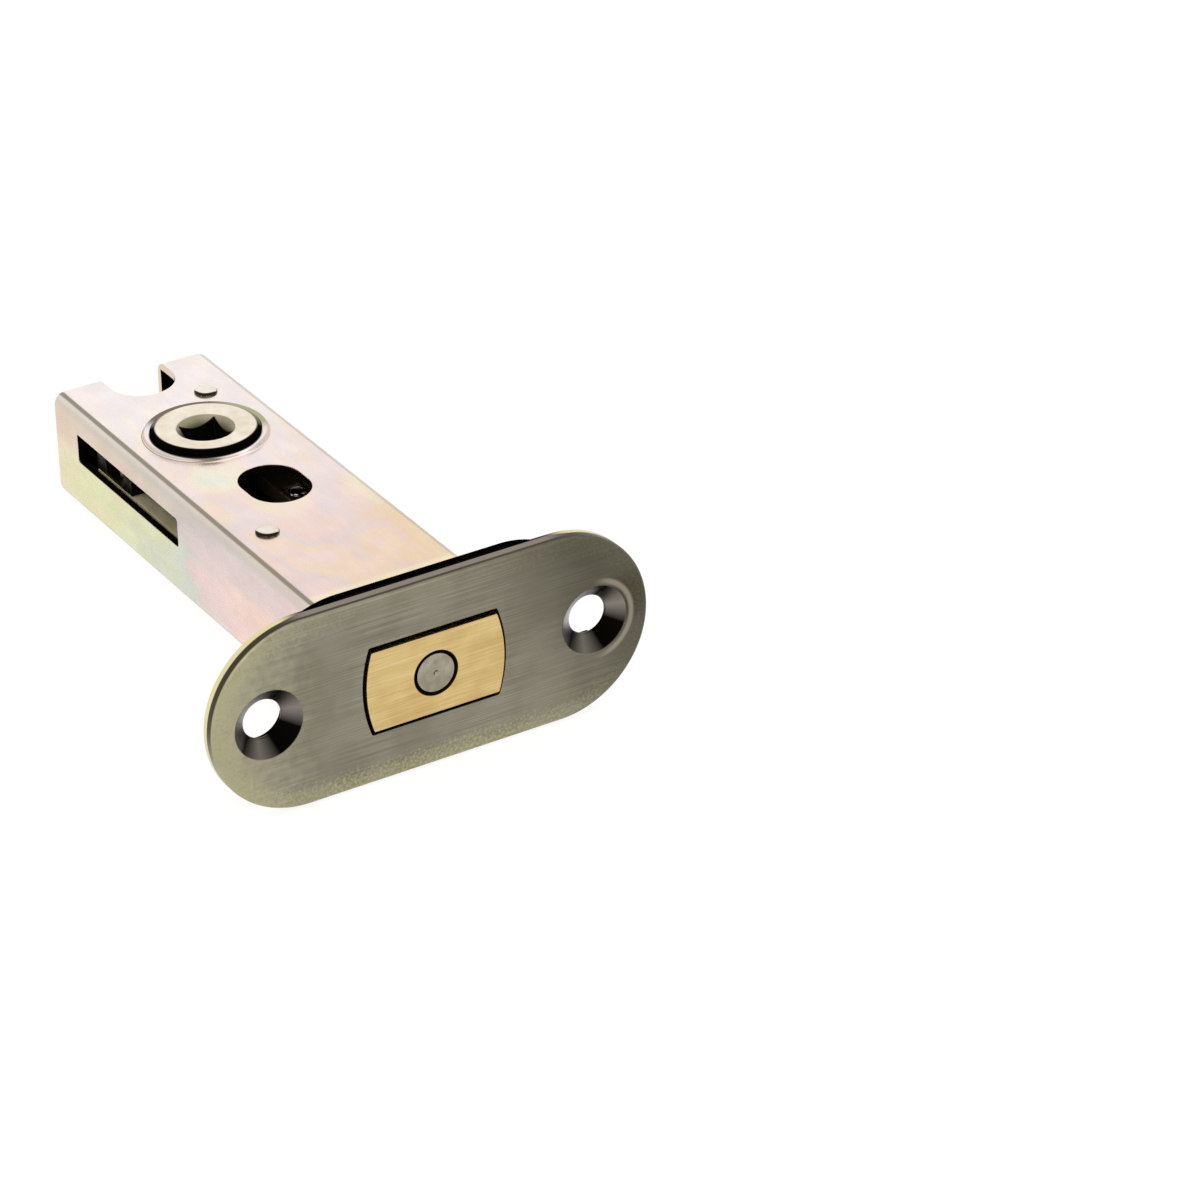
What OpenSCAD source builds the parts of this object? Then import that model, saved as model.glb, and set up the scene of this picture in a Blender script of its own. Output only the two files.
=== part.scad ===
// Tubular bathroom deadbolt with its bolt drawn back.
// +X runs along the forend, +Y into the door edge and +Z along the follower's axis.
// The origin is the middle of the forend's front face, on the bolt's centre line.

/* [Forend] */
// Length of the outer plate, over its round ends
forend_l = 60; // [58:0.5:66]
// Width of both plates, which is also the diameter of their round ends
forend_w = 25; // [24:0.2:28]
// Thickness of the outer plate
outer_t = 2.2; // [2:0.1:3]
// Thickness of the inner plate that carries the case
inner_t = 1.2; // [1:0.1:2]
// How far the inner plate stops short of each end of the outer plate
inner_step = 6.25; // [5.5:0.05:7]
// Rounding of the outer plate's front edge
edge_r = 0.5; // [0.2:0.1:1]
// Distance from each end of the outer plate to its wood screw
screw_inset = 7.6; // [7:0.1:8.5]
// Diameter of the hole for a wood screw
screw_hole_d = 5.1; // [4.4:0.1:5.6]
// Diameter of the countersink at the front face
csk_d = 9.3; // [8.4:0.1:10]
// Depth of the countersink's cone
csk_depth = 1.8; // [1.2:0.1:1.9]
// Diameter of the inner plate's open notch round each screw
screw_notch_d = 6.4; // [6:0.1:7]

/* [Bolt] */
// Radius of the bolt's two curved sides
bolt_side_r = 17; // [14:0.5:30]
// How far the drawn-back bolt stands out of the forend
bolt_proud = 0.3; // [0:0.05:0.6]
// Diameter of the hardened pin in the bolt's end
pin_d = 5.2; // [4.6:0.1:5.6]
// Thickness of the brass between the hardened pin and the tail's tongue
pin_web = 2; // [1.5:0.1:6]
// Width of the chamfer round the pin's hole
pin_chamfer = 0.45; // [0.2:0.05:0.6]
// Diameter of the small centre mark in the pin's end
pin_centre_d = 0.8; // [0.5:0.1:1.2]

/* [Case] */
// Distance from the forend's front face to the case's rear end
case_end = 79; // [76:0.5:84]
// Distance from the follower's axis to the case's rear end
case_past = 22; // [21:0.5:24]
// Width of the folded case
case_w = 22.5; // [22.3:0.1:24]
// Height of the folded case
case_h = 14.6; // [14:0.1:16]
// Thickness of the case's sheet
sheet_t = 1; // [0.8:0.05:1.1]
// Outer radius of the case's four bends
bend_r = 1.8; // [1.4:0.1:2.4]
// Width of the seam where the folded sheet meets itself
seam_gap = 0.2; // [0.1:0.05:0.4]
// Height of the seam below the centre line, in the right-hand wall
seam_drop = 3.6; // [3:0.1:4.5]
// Width of each tab that holds the case in the inner plate
tab_w = 5; // [4:0.5:6]
// Distance from each tab to the start of the case's bend
tab_inset = 1.45; // [1:0.05:2]
// Distance from the follower's axis forward to the middle of the fixing hole
fixing_front = 16.7; // [16.2:0.1:17.2]
// Width of the oblong fixing hole
fixing_w = 8.1; // [7:0.1:8.4]
// Length of the oblong fixing hole
fixing_l = 10.5; // [9:0.1:11]
// Distance that the fixing hole sits to the right of the bolt's centre line
fixing_right = 0.8; // [0:0.1:1]
// Width of the open notch behind the follower
notch_w = 8.8; // [8.2:0.1:9.2]
// Distance from the follower's axis to the centre of that notch
notch_back = 17.9; // [17:0.1:20]
// Gap above and below each flange that the side walls turn in across the rear end
flange_gap = 0.1; // [0.05:0.05:0.3]
// Length of the finger's slot in the left-hand wall
wall_slot_l = 27.5; // [26:0.5:28]
// How far the slot's middle lies behind the follower's axis
wall_slot_shift = 0.8; // [0:0.1:1.2]
// Height of the drawn collar round each of the follower's holes
collar_h = 0.55; // [0.3:0.05:0.6]
// Width of that collar's rim
collar_w = 0.85; // [0.6:0.05:1]
// Chamfer round the collar's outer edge
collar_chamfer = 0.15; // [0.05:0.05:0.2]

/* [Posts] */
// Diameter of the two spacer posts between the case's walls
post_d = 3.2; // [2.8:0.1:3.4]
// Diameter of a post's ends where they pass through the sheet
spigot_d = 2.4; // [1.8:0.1:2.6]
// Diameter of a post's riveted head
post_head_d = 3; // [2.8:0.1:3.4]
// Height of a post's riveted head
post_head_h = 0.35; // [0.2:0.05:0.5]
// Distance from the front post to the middle of the fixing hole behind it
front_post_lead = 10.7; // [10.2:0.1:11]
// Distance from the rear post's axis to the case's right-hand wall
rear_post_side = 4.85; // [4.4:0.05:5]
// Distance from the follower's axis back to the rear post
rear_post_back = 10.2; // [10.1:0.1:11]

/* [Follower] */
// Diameter of the two flanges, as a share of the case's inner width
flange_share = 0.8; // [0.78:0.01:0.81]
// Diameter of the follower where it turns in the case, as a share of its flange
journal_share = 0.86; // [0.8:0.01:0.9]
// How far the follower stands out of the case at each side
journal_proud = 0.95; // [0.6:0.05:1.4]
// Width of the chamfer round the follower's end
journal_chamfer_w = 0.6; // [0.3:0.05:0.9]
// Height of that chamfer
journal_chamfer_h = 0.3; // [0.1:0.05:0.5]
// Side of the square hole for the spindle
spindle_af = 5.1; // [4.8:0.1:5.2]
// Diameter of the cone that leads into the square hole
lead_in_d = 7.8; // [7.3:0.1:8.4]
// Depth of that cone
lead_in_depth = 1.2; // [0.8:0.1:1.6]
// Thickness of each flange
flange_t = 1.2; // [0.8:0.1:1.3]
// Diameter of the finger's round end
finger_end_d = 3.8; // [3.4:0.1:3.9]
// Width of the finger's neck
finger_neck_w = 2.9; // [2.2:0.1:3]
// How far the finger stops below the tops of the drive block's jaws
finger_drop = 0.8; // [0.6:0.1:1.2]

/* [Tail] */
// Thickness of the bolt tail
tail_t = 2; // [1.6:0.1:2.4]
// Height of the tail's upper face above the centre line
tail_top = 0; // [-0.2:0.1:0.2]
// Width of each arm beside the follower, as a share of the case's inner width
arm_share = 0.168; // [0.165:0.001:0.175]
// Width of the left-hand arm beside the front post's slot
post_rim = 1.9; // [1.8:0.05:2]
// Length of the cross-piece in front of that slot
cross_l = 1.8; // [1.5:0.1:2.2]
// Length of the tongue inside the bolt
tongue_l = 8; // [7:0.5:8.5]
// Distance from the tongue's edges to the bolt's sides
tongue_side = 2.5; // [2.2:0.1:3.5]
// Diameter of the two rivets that join the bolt and the tail
tail_rivet_d = 2.5; // [2:0.1:3]
// Distance from those rivets to the tongue's edges
tail_rivet_inset = 2.4; // [2:0.1:2.8]
// How far the right-hand arm runs past the follower's axis
right_arm_past = 3; // [2.6:0.1:4]
// Width of the drive block on the left-hand arm
block_w = 2.5; // [2.2:0.1:2.6]
// Thickness of each jaw of the drive block
block_jaw = 2.4; // [2:0.1:2.6]
// Thickness of the drive block's floor under the finger
block_floor = 0.4; // [0.3:0.05:0.4]
// Diameter of the two rivets that hold the drive block
block_rivet_d = 1.4; // [1:0.1:1.6]

/* [Friction spring] */
// Thickness of the spring strip
strip_t = 0.35; // [0.25:0.05:0.4]
// Height of the strip that bows out to the case's wall
strip_h = 3; // [2:0.1:3.6]
// Length of the bowed strip
strip_l = 12; // [11:0.5:12.5]
// How far the strip bows outwards
strip_bow = 0.7; // [0.5:0.05:0.8]
// Width of the foot that lies on the tail's right-hand arm
foot_w = 2.6; // [2.4:0.1:2.8]
// Length of that foot
foot_l = 4; // [3.6:0.1:5]
// Distance from the follower's axis forward to the foot's rivet
spring_rivet_front = 8.7; // [8.4:0.1:9.4]
// Diameter of that rivet's shank
spring_rivet_d = 1.4; // [1:0.1:1.6]
// Diameter of that rivet's head
spring_rivet_head_d = 2.3; // [2:0.1:2.4]
// Height of that rivet's head
spring_rivet_head_h = 0.45; // [0.3:0.05:0.6]

/* [Bolt guide] */
// Length of the guide sleeve in the case's mouth
guide_l = 7.6; // [6:0.1:8]
// Thickness of the guide above and below the bolt
guide_top_t = 0.65; // [0.5:0.05:0.9]
// Thickness of the guide beside the bolt
guide_side_t = 0.5; // [0.4:0.05:0.8]

/* [Clearances] */
// Radial gap of the follower in the case's holes
run_gap = 0.07; // [0.03:0.01:0.09]
// Play of the follower along its axis, at each side
end_float = 0.1; // [0.05:0.05:0.2]
// Gap beside the bolt in the outer plate's opening
opening_side_gap = 0.33; // [0.25:0.01:0.5]
// Gap above and below the bolt in the outer plate's opening
opening_top_gap = 0.55; // [0.3:0.05:0.6]
// Gap round the bolt in the inner plate's opening and in its guide
guide_gap = 0.2; // [0.15:0.05:0.25]
// Gap between the guide sleeve and the case
sleeve_gap = 0.05; // [0.02:0.01:0.1]
// Gap between the finger and each jaw of the drive block
finger_gap = 0.4; // [0.38:0.01:0.5]
// Gap between the finger and the drive block's floor
finger_lift = 0.2; // [0.2:0.05:0.3]
// Gap above and below the finger in the wall's slot
wall_slot_gap = 0.475; // [0.3:0.025:0.5]
// Gap between the tail and the case's side walls
tail_side_gap = 0.35; // [0.25:0.05:0.4]
// Gap between the tail and the follower's barrel
barrel_gap = 0.45; // [0.35:0.05:0.5]
// Gap between the drive block and the follower's flange
block_top_gap = 0.6; // [0.3:0.05:0.8]
// Gap between the tail and the fixing hole's edge
fixing_gap = 0.45; // [0.3:0.05:0.6]
// Gap between the tail and the posts
post_gap = 0.3; // [0.2:0.05:0.35]
// Gap between the tail's shoulders and the bolt
shoulder_gap = 0.2; // [0.05:0.05:0.3]
// Gap round the tongue in the bolt's slot
tongue_gap = 0.05; // [0.02:0.01:0.1]
// Gap round a rivet, pin or post end in its hole
rivet_gap = 0.02; // [0.01:0.01:0.05]
// Gap round each tab in the inner plate
tab_gap = 0.1; // [0.05:0.01:0.15]
// Gap between the bowed strip and the case's wall
strip_gap = 0.08; // [0.05:0.01:0.15]

/* [Hidden] */
$fn = 96;
eps = 0.01;
over = 1;
follower_turn = 90;
forend_t = outer_t + inner_t;
inner_l = forend_l - 2 * inner_step;
screw_x = forend_l / 2 - screw_inset;
inner_w = case_w - 2 * sheet_t;
inner_h = case_h - 2 * sheet_t;
inner_bend_r = bend_r - sheet_t;
rear_flange_z = inner_h / 2 - flange_gap;
backset = case_end - case_past;
tab_x = case_w / 2 - bend_r - tab_inset - tab_w / 2;
bolt_w = inner_w - 2 * (sleeve_gap + guide_side_t + guide_gap);
bolt_h = inner_h - 2 * (sleeve_gap + guide_top_t + guide_gap);
arm_out = inner_w / 2 - tail_side_gap;
arm_in = arm_out - inner_w * arm_share;
barrel_d = 2 * (arm_in - barrel_gap);
flange_d = inner_w * flange_share;
journal_d = flange_d * journal_share;
flange_low = inner_h / 2 - end_float - flange_t;
finger_reach = arm_out;
bolt_throw = 2 * finger_reach * sin(follower_turn / 2);
finger_rest_angle = 180 - follower_turn / 2;
finger_rest_y = backset + bolt_throw / 2;
finger_z = tail_top + block_floor + finger_lift;
block_h = flange_low - block_top_gap - tail_top;
finger_t = tail_top + block_h - finger_drop - finger_z;
fixing_y = backset - fixing_front;
opening_front = fixing_y - fixing_l / 2 - fixing_gap;
post_relief = post_d / 2 + post_gap;
front_post_x = arm_out - post_rim - post_relief;
front_post_y = fixing_y - front_post_lead;
rear_post_x = inner_w / 2 - rear_post_side;
shoulder_y = front_post_y - post_relief - cross_l;
bolt_rear = shoulder_y - shoulder_gap;
tongue_w = bolt_w - 2 * tongue_side;
tail_rivet_x = tongue_w / 2 - tail_rivet_inset;
pin_l = bolt_rear + bolt_proud - tongue_l - pin_web;
jaw_space = finger_end_d + 2 * finger_gap;
block_l = jaw_space + 2 * block_jaw;
block_front = finger_rest_y - block_l / 2;
spring_rivet_y = backset - spring_rivet_front;
strip_front = spring_rivet_y - foot_l / 2;
strip_x = inner_w / 2 - strip_gap - strip_bow - strip_t;
foot_x = strip_x + strip_t / 2 - foot_w;
spring_rivet_x = foot_x + foot_w / 2;
bow_r = (strip_l * strip_l / 4 + strip_bow * strip_bow) / (2 * strip_bow);
FORE_BRASS = [0.51, 0.49, 0.43];
PALE_ZINC = [0.92, 0.88, 0.84];
BOLT_BRASS = [0.83, 0.72, 0.47];
PLAIN_STEEL = [0.64, 0.63, 0.6];
DARK_STEEL = [0.35, 0.34, 0.31];
CAST_ZINC = [0.9, 0.88, 0.78];
NYLON = [0.88, 0.87, 0.82];

// A flat outline in X and Z, given depth along Y between two places
module along_y(from, to) {
    translate([0, to, 0]) rotate([90, 0, 0]) linear_extrude(to - from) children();
}

// A round bar along Y between two places
module bar_y(d, from, to, x = 0) {
    translate([x, from, 0]) rotate([-90, 0, 0]) cylinder(d = d, h = to - from);
}

// A flat outline in X and Y, given depth along Z between two heights
module along_z(from, to) {
    translate([0, 0, from]) linear_extrude(to - from) children();
}

// A rectangle between two corners
module area(x0, y0, x1, y1) {
    translate([x0, y0]) square([x1 - x0, y1 - y0]);
}

// A long shape with round ends along X
module round_ended(length, width) {
    square([length - width, width], center = true);
    for (side = [-1, 1]) translate([side * (length - width) / 2, 0]) circle(d = width);
}

// A rectangle with round corners
module round_cornered(width, height, r) {
    square([width, height - 2 * r], center = true);
    square([width - 2 * r, height], center = true);
    for (x = [-1, 1], y = [-1, 1])
        translate([x * (width / 2 - r), y * (height / 2 - r)]) circle(r);
}

// The bolt's section: two flats and two curved sides, grown by a gap
module bolt_section(side_gap, top_gap) {
    width = bolt_w + 2 * side_gap;
    centre_off = width / 2 - bolt_side_r;
    intersection() {
        square([width, bolt_h + 2 * top_gap], center = true);
        translate([centre_off, 0]) circle(bolt_side_r);
        translate([-centre_off, 0]) circle(bolt_side_r);
    }
}

// Half of the outer plate's cross-section, with its front edge rounded
module plate_edge() {
    square([forend_w / 2 - edge_r, outer_t]);
    translate([0, edge_r]) square([forend_w / 2, outer_t - edge_r]);
    translate([forend_w / 2 - edge_r, edge_r]) circle(edge_r);
}

// The outer plate without its holes
module outer_blank() {
    straight = forend_l - forend_w;
    rotate([0, 90, 0]) linear_extrude(straight, center = true) {
        plate_edge();
        mirror([1, 0]) plate_edge();
    }
    for (side = [-1, 1])
        translate([side * straight / 2, 0, 0])
            rotate([-90, 0, 0]) rotate_extrude() intersection() {
                plate_edge();
                square([forend_w, outer_t]);
            }
}

module outer_forend() {
    color(FORE_BRASS) difference() {
        outer_blank();
        along_y(-eps, outer_t + eps) bolt_section(opening_side_gap, opening_top_gap);
        for (side = [-1, 1]) translate([side * screw_x, 0, 0]) {
            bar_y(screw_hole_d, -eps, outer_t + eps);
            rotate([-90, 0, 0]) cylinder(d1 = csk_d, d2 = screw_hole_d, h = csk_depth);
            bar_y(csk_d, -over, 0);
        }
    }
}

module inner_forend() {
    color(PALE_ZINC) difference() {
        along_y(outer_t, forend_t) round_ended(inner_l, forend_w);
        along_y(outer_t - eps, forend_t + eps) bolt_section(guide_gap, guide_gap);
        for (side = [0, 1]) mirror([side, 0, 0]) along_y(outer_t - eps, forend_t + eps) {
            translate([screw_x, 0]) circle(d = screw_notch_d);
            area(screw_x, -screw_notch_d / 2, forend_l / 2, screw_notch_d / 2);
        }
        case_tabs(tab_gap, eps);
    }
}

// The four tabs at the case's front end, grown by a gap for their slots
module case_tabs(gap, past) {
    for (x = [-1, 1], z = [-1, 1])
        translate([x * tab_x, (outer_t + forend_t) / 2, z * (case_h - sheet_t) / 2])
            cube([tab_w + 2 * gap, inner_t + 2 * past, sheet_t + 2 * gap], center = true);
}

// The oblong fixing hole and the open notch behind the follower
module fixing_openings() {
    notch_y = backset + notch_back;
    along_z(-case_h, case_h) {
        translate([fixing_right, fixing_y]) rotate(90) round_ended(fixing_l, fixing_w);
        translate([0, notch_y]) circle(d = notch_w);
        area(-notch_w / 2, notch_y, notch_w / 2, case_end + over);
    }
}

// The plan of a side wall's end where it turns in across the rear end
module turned_in_plan() {
    bend_x = case_w / 2 - bend_r;
    bend_y = case_end - bend_r;
    area(case_w / 2 - sheet_t, bend_y - over, case_w / 2, bend_y);
    area(0, case_end - sheet_t, bend_x, case_end);
    translate([bend_x, bend_y]) intersection() {
        difference() {
            circle(bend_r);
            circle(inner_bend_r);
        }
        square(bend_r);
    }
}

// One side wall's rear end with its flange, from a height up for each
module turned_in_end(wall_low, flange_low) {
    along_z(wall_low, case_h / 2 - bend_r) turned_in_plan();
    along_z(flange_low, rear_flange_z)
        area(0, case_end - sheet_t, case_w / 2 - bend_r, case_end);
}

// The folded sheet with its open seam and its rear end
module case_tube() {
    bend_y = case_end - bend_r;
    seam_top = seam_gap / 2 - seam_drop;
    along_y(forend_t, bend_y) difference() {
        round_cornered(case_w, case_h, bend_r);
        round_cornered(inner_w, inner_h, inner_bend_r);
        area(inner_w / 2 - sheet_t, seam_top - seam_gap, case_w / 2 + over, seam_top);
    }
    for (z = [-1, 1])
        along_y(bend_y - over, case_end - sheet_t)
            translate([0, z * (case_h - sheet_t) / 2])
                square([case_w - 2 * bend_r, sheet_t], center = true);
    turned_in_end(seam_top, seam_top);
    mirror([1, 0, 0]) turned_in_end(bend_r - case_h / 2, -rear_flange_z);
}

// The collar drawn up from one wall round the follower's hole, still without the hole
module case_collar() {
    collar_d = journal_d + 2 * (run_gap + collar_w);
    straight_top = case_h / 2 + collar_h - collar_chamfer;
    translate([0, backset, case_h / 2 - sheet_t / 2])
        cylinder(d = collar_d, h = straight_top - case_h / 2 + sheet_t / 2);
    translate([0, backset, straight_top])
        cylinder(d1 = collar_d, d2 = collar_d - 2 * collar_chamfer, h = collar_chamfer);
}

module case() {
    slot_mid = backset + wall_slot_shift;
    color(PALE_ZINC) {
        difference() {
            union() {
                case_tube();
                for (side = [0, 1]) mirror([0, 0, side]) case_collar();
            }
            fixing_openings();
            translate([0, backset, -case_h]) cylinder(d = journal_d + 2 * run_gap, h = 2 * case_h);
            for (p = post_places())
                translate([p.x, p.y, -case_h]) cylinder(d = spigot_d + 2 * rivet_gap, h = 2 * case_h);
            translate([-case_w / 2 - over, slot_mid - wall_slot_l / 2, finger_z - wall_slot_gap])
                cube([sheet_t + 2 * over, wall_slot_l, finger_t + 2 * wall_slot_gap]);
        }
        case_tabs(0, 0);
    }
}

module bolt_guide() {
    color(NYLON) along_y(forend_t, forend_t + guide_l) difference() {
        round_cornered(inner_w - 2 * sleeve_gap, inner_h - 2 * sleeve_gap, inner_bend_r);
        bolt_section(guide_gap, guide_gap);
    }
}

// Where the two posts stand
function post_places() = [[-front_post_x, front_post_y], [rear_post_x, backset + rear_post_back]];

// A shouldered post with both ends riveted over
module spacer_post(place) {
    top = case_h / 2;
    color(PALE_ZINC) translate([place.x, place.y, 0]) {
        cylinder(d = post_d, h = inner_h, center = true);
        cylinder(d = spigot_d, h = case_h, center = true);
        for (side = [0, 1]) mirror([0, 0, side]) translate([0, 0, top]) {
            cylinder(d = post_head_d, h = post_head_h / 2);
            translate([0, 0, post_head_h / 2])
                cylinder(d1 = post_head_d, d2 = post_head_d - post_head_h, h = post_head_h / 2);
        }
    }
}

module front_post() {
    spacer_post(post_places()[0]);
}

module rear_post() {
    spacer_post(post_places()[1]);
}

// One end of the follower: flange, journal and chamfered face
module follower_end() {
    flange_top = inner_h / 2 - end_float;
    face = case_h / 2 + journal_proud;
    translate([0, 0, flange_top - flange_t]) cylinder(d = flange_d, h = flange_t);
    translate([0, 0, flange_top - eps])
        cylinder(d = journal_d, h = face - journal_chamfer_h - flange_top + eps);
    translate([0, 0, face - journal_chamfer_h])
        cylinder(d1 = journal_d, d2 = journal_d - 2 * journal_chamfer_w, h = journal_chamfer_h);
}

module follower() {
    face = case_h / 2 + journal_proud;
    color(CAST_ZINC) translate([0, backset, 0]) difference() {
        union() {
            cylinder(d = barrel_d, h = inner_h - 2 * end_float - flange_t, center = true);
            for (side = [0, 1]) mirror([0, 0, side]) follower_end();
            rotate(finger_rest_angle) along_z(finger_z, finger_z + finger_t) {
                area(barrel_d / 2 - over, -finger_neck_w / 2, finger_reach, finger_neck_w / 2);
                translate([finger_reach, 0]) circle(d = finger_end_d);
            }
        }
        cube([spindle_af, spindle_af, 2 * (face + over)], center = true);
        for (side = [0, 1]) mirror([0, 0, side]) translate([0, 0, face - lead_in_depth])
            cylinder(d1 = spindle_af, d2 = lead_in_d, h = lead_in_depth + eps);
    }
}

module bolt_head() {
    color(BOLT_BRASS) difference() {
        along_y(-bolt_proud, bolt_rear) bolt_section(0, 0);
        bar_y(pin_d + 2 * rivet_gap, -bolt_proud - over, pin_l - bolt_proud + rivet_gap);
        translate([0, -bolt_proud, 0]) rotate([-90, 0, 0])
            cylinder(d1 = pin_d + 2 * pin_chamfer, d2 = pin_d, h = pin_chamfer);
        along_z(tail_top - tail_t - tongue_gap, tail_top + tongue_gap)
            area(-tongue_w / 2 - tongue_gap, bolt_rear - tongue_l - tongue_gap,
                 tongue_w / 2 + tongue_gap, bolt_rear + over);
        for (side = [-1, 1]) tail_rivet(side, rivet_gap, bolt_h);
    }
}

module hardened_pin() {
    color(PLAIN_STEEL) difference() {
        bar_y(pin_d, -bolt_proud, pin_l - bolt_proud);
        translate([0, -bolt_proud, 0]) rotate([-90, 0, 0])
            cylinder(d1 = pin_centre_d, d2 = 0, h = pin_centre_d / 2);
    }
}

// A rivet through the bolt and the tail's tongue, or its hole when grown by a gap
module tail_rivet(side, gap, height) {
    translate([side * tail_rivet_x, bolt_rear - tongue_l / 2, 0])
        cylinder(d = tail_rivet_d + 2 * gap, h = height + 2 * gap, center = true);
}

module tail_rivet_left() {
    color(PLAIN_STEEL) tail_rivet(-1, 0, bolt_h);
}

module tail_rivet_right() {
    color(PLAIN_STEEL) tail_rivet(1, 0, bolt_h);
}

// The tail's outline: a tongue, a cross-piece and an arm at each side of the follower
module tail_outline() {
    left_end = block_front + block_l;
    right_end = backset + right_arm_past;
    post_end = front_post_y + bolt_throw + post_relief;
    difference() {
        union() {
            area(-tongue_w / 2, bolt_rear - tongue_l, tongue_w / 2, shoulder_y + over);
            area(-arm_out, shoulder_y, arm_out, right_end);
            area(-arm_out, right_end - over, 0, left_end);
        }
        area(-arm_in, opening_front, arm_in, left_end + over);
        area(-front_post_x - post_relief, front_post_y - post_relief,
             -front_post_x + post_relief, post_end);
    }
}

module bolt_tail() {
    color(PALE_ZINC) difference() {
        along_z(tail_top - tail_t, tail_top) tail_outline();
        for (side = [-1, 1]) tail_rivet(side, rivet_gap, bolt_h);
        for (end = [-1, 1]) block_rivet(end, rivet_gap);
        spring_rivet_shank(rivet_gap);
    }
}

module drive_block() {
    color(DARK_STEEL) difference() {
        translate([-arm_out, block_front, tail_top]) cube([block_w, block_l, block_h]);
        translate([-arm_out - over, finger_rest_y - jaw_space / 2, tail_top + block_floor])
            cube([block_w + 2 * over, jaw_space, block_h]);
        for (end = [-1, 1]) block_rivet(end, rivet_gap);
    }
}

// A rivet through one jaw of the drive block and the tail's left-hand arm
module block_rivet(end, gap) {
    translate([block_w / 2 - arm_out, finger_rest_y + end * (block_l - block_jaw) / 2,
               tail_top - tail_t - gap])
        cylinder(d = block_rivet_d + 2 * gap, h = tail_t + block_h + 2 * gap);
}

module block_rivet_front() {
    color(PLAIN_STEEL) block_rivet(-1, 0);
}

module block_rivet_rear() {
    color(PLAIN_STEEL) block_rivet(1, 0);
}

// The bowed strip in plan, between two large circles
module bowed_strip() {
    translate([strip_x + strip_bow - bow_r, strip_front + strip_l / 2]) intersection() {
        difference() {
            circle(bow_r + strip_t);
            circle(bow_r);
        }
        area(bow_r / 2, -strip_l / 2, bow_r + strip_t, strip_l / 2);
    }
}

module friction_spring() {
    color(PLAIN_STEEL) difference() {
        union() {
            along_z(tail_top, tail_top + strip_h) bowed_strip();
            along_z(tail_top, tail_top + strip_t)
                area(foot_x, strip_front, foot_x + foot_w, strip_front + foot_l);
        }
        spring_rivet_shank(rivet_gap);
    }
}

// The shank of the spring's rivet, or its hole when grown by a gap
module spring_rivet_shank(gap) {
    translate([spring_rivet_x, spring_rivet_y, tail_top - tail_t - gap])
        cylinder(d = spring_rivet_d + 2 * gap, h = tail_t + strip_t + 2 * gap);
}

module spring_rivet() {
    color(PLAIN_STEEL) {
        spring_rivet_shank(0);
        translate([spring_rivet_x, spring_rivet_y, tail_top + strip_t])
            cylinder(d1 = spring_rivet_head_d, d2 = spring_rivet_head_d - 2 * spring_rivet_head_h,
                     h = spring_rivet_head_h);
    }
}

outer_forend();
inner_forend();
case();
bolt_guide();
front_post();
rear_post();
follower();
bolt_head();
hardened_pin();
bolt_tail();
tail_rivet_left();
tail_rivet_right();
drive_block();
block_rivet_front();
block_rivet_rear();
friction_spring();
spring_rivet();
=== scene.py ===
"""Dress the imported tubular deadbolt: its plates, case, hub and bolt, their finishes and a pale studio.

Shapes are worked in millimetres and brought to metres when each piece is settled.
"""

from __future__ import annotations

import logging
import math
from collections.abc import Callable, Iterator, Sequence
from contextlib import contextmanager
from dataclasses import dataclass, field
from enum import Enum
from functools import reduce
from itertools import pairwise
from typing import Self

import bmesh
import bpy
from bpy.types import Material, Node, NodeSocket, NodeTree, Object, World
from mathutils import Matrix, Vector

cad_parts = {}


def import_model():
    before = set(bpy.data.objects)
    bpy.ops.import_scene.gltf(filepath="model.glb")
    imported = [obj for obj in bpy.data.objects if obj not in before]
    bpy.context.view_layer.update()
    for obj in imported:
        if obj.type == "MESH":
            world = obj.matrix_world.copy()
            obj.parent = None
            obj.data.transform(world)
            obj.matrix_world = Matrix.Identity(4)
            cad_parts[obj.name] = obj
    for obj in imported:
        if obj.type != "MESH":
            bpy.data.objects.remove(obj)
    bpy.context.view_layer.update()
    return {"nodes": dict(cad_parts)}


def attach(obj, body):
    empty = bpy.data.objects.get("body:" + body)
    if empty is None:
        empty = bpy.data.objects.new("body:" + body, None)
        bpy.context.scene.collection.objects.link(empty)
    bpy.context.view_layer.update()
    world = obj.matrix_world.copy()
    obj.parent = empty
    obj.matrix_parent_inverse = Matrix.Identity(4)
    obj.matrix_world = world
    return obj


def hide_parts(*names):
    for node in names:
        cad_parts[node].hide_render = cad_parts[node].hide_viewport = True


LOG = logging.getLogger("deadbolt")
MM = 0.001

# How far a cutting shape reaches past what it cuts, in millimetres
PAST = 1.0

# Sizes that several pieces and finishes share, in millimetres
PLATE_W = 25.0
SCREW_X = 22.4
HOLE_R = 2.55
SINK_R = 4.65
TAB_X = 5.5
CASE_W = 22.5
CASE_H = 14.6
CASE_REAR = 79.0
SHEET = 1.0
HUB_Y = 57.0
BOLT_W = 19.0
BOLT_H = 10.8
BOLT_SIDE_R = 17.0

# The level direction to the front left, as its parts on X and Y
FRONT_LEFT = (-0.5, -0.86)

# Points closer than this are merged, in millimetres
MERGED = 0.002

# Edges sharper than the first angle are rounded, and past the second one they are shaded sharp, in degrees
SHARP = 35
SMOOTHED = 32

Point = tuple[float, float, float]
Span = tuple[float, float]
Tone = tuple[int, int, int]
Stops = tuple[tuple[float, Tone], ...]
Profile = Sequence[Span]
Source = NodeSocket | float | Sequence[float]


class Part(Enum):
    """The kinds of mesh part that can be picked."""

    VERTEX = "VERT"
    EDGE = "EDGE"
    FACE = "FACE"


class Along(Enum):
    """The axis that a turned shape or a bar runs along, as the turn that takes Z to it."""

    Y = (-math.pi / 2, 0.0, 0.0)
    Z = (0.0, 0.0, 0.0)


class Join(Enum):
    """How one shape changes another."""

    CUT = "DIFFERENCE"
    FUSE = "UNION"
    SHARE = "INTERSECT"


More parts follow.
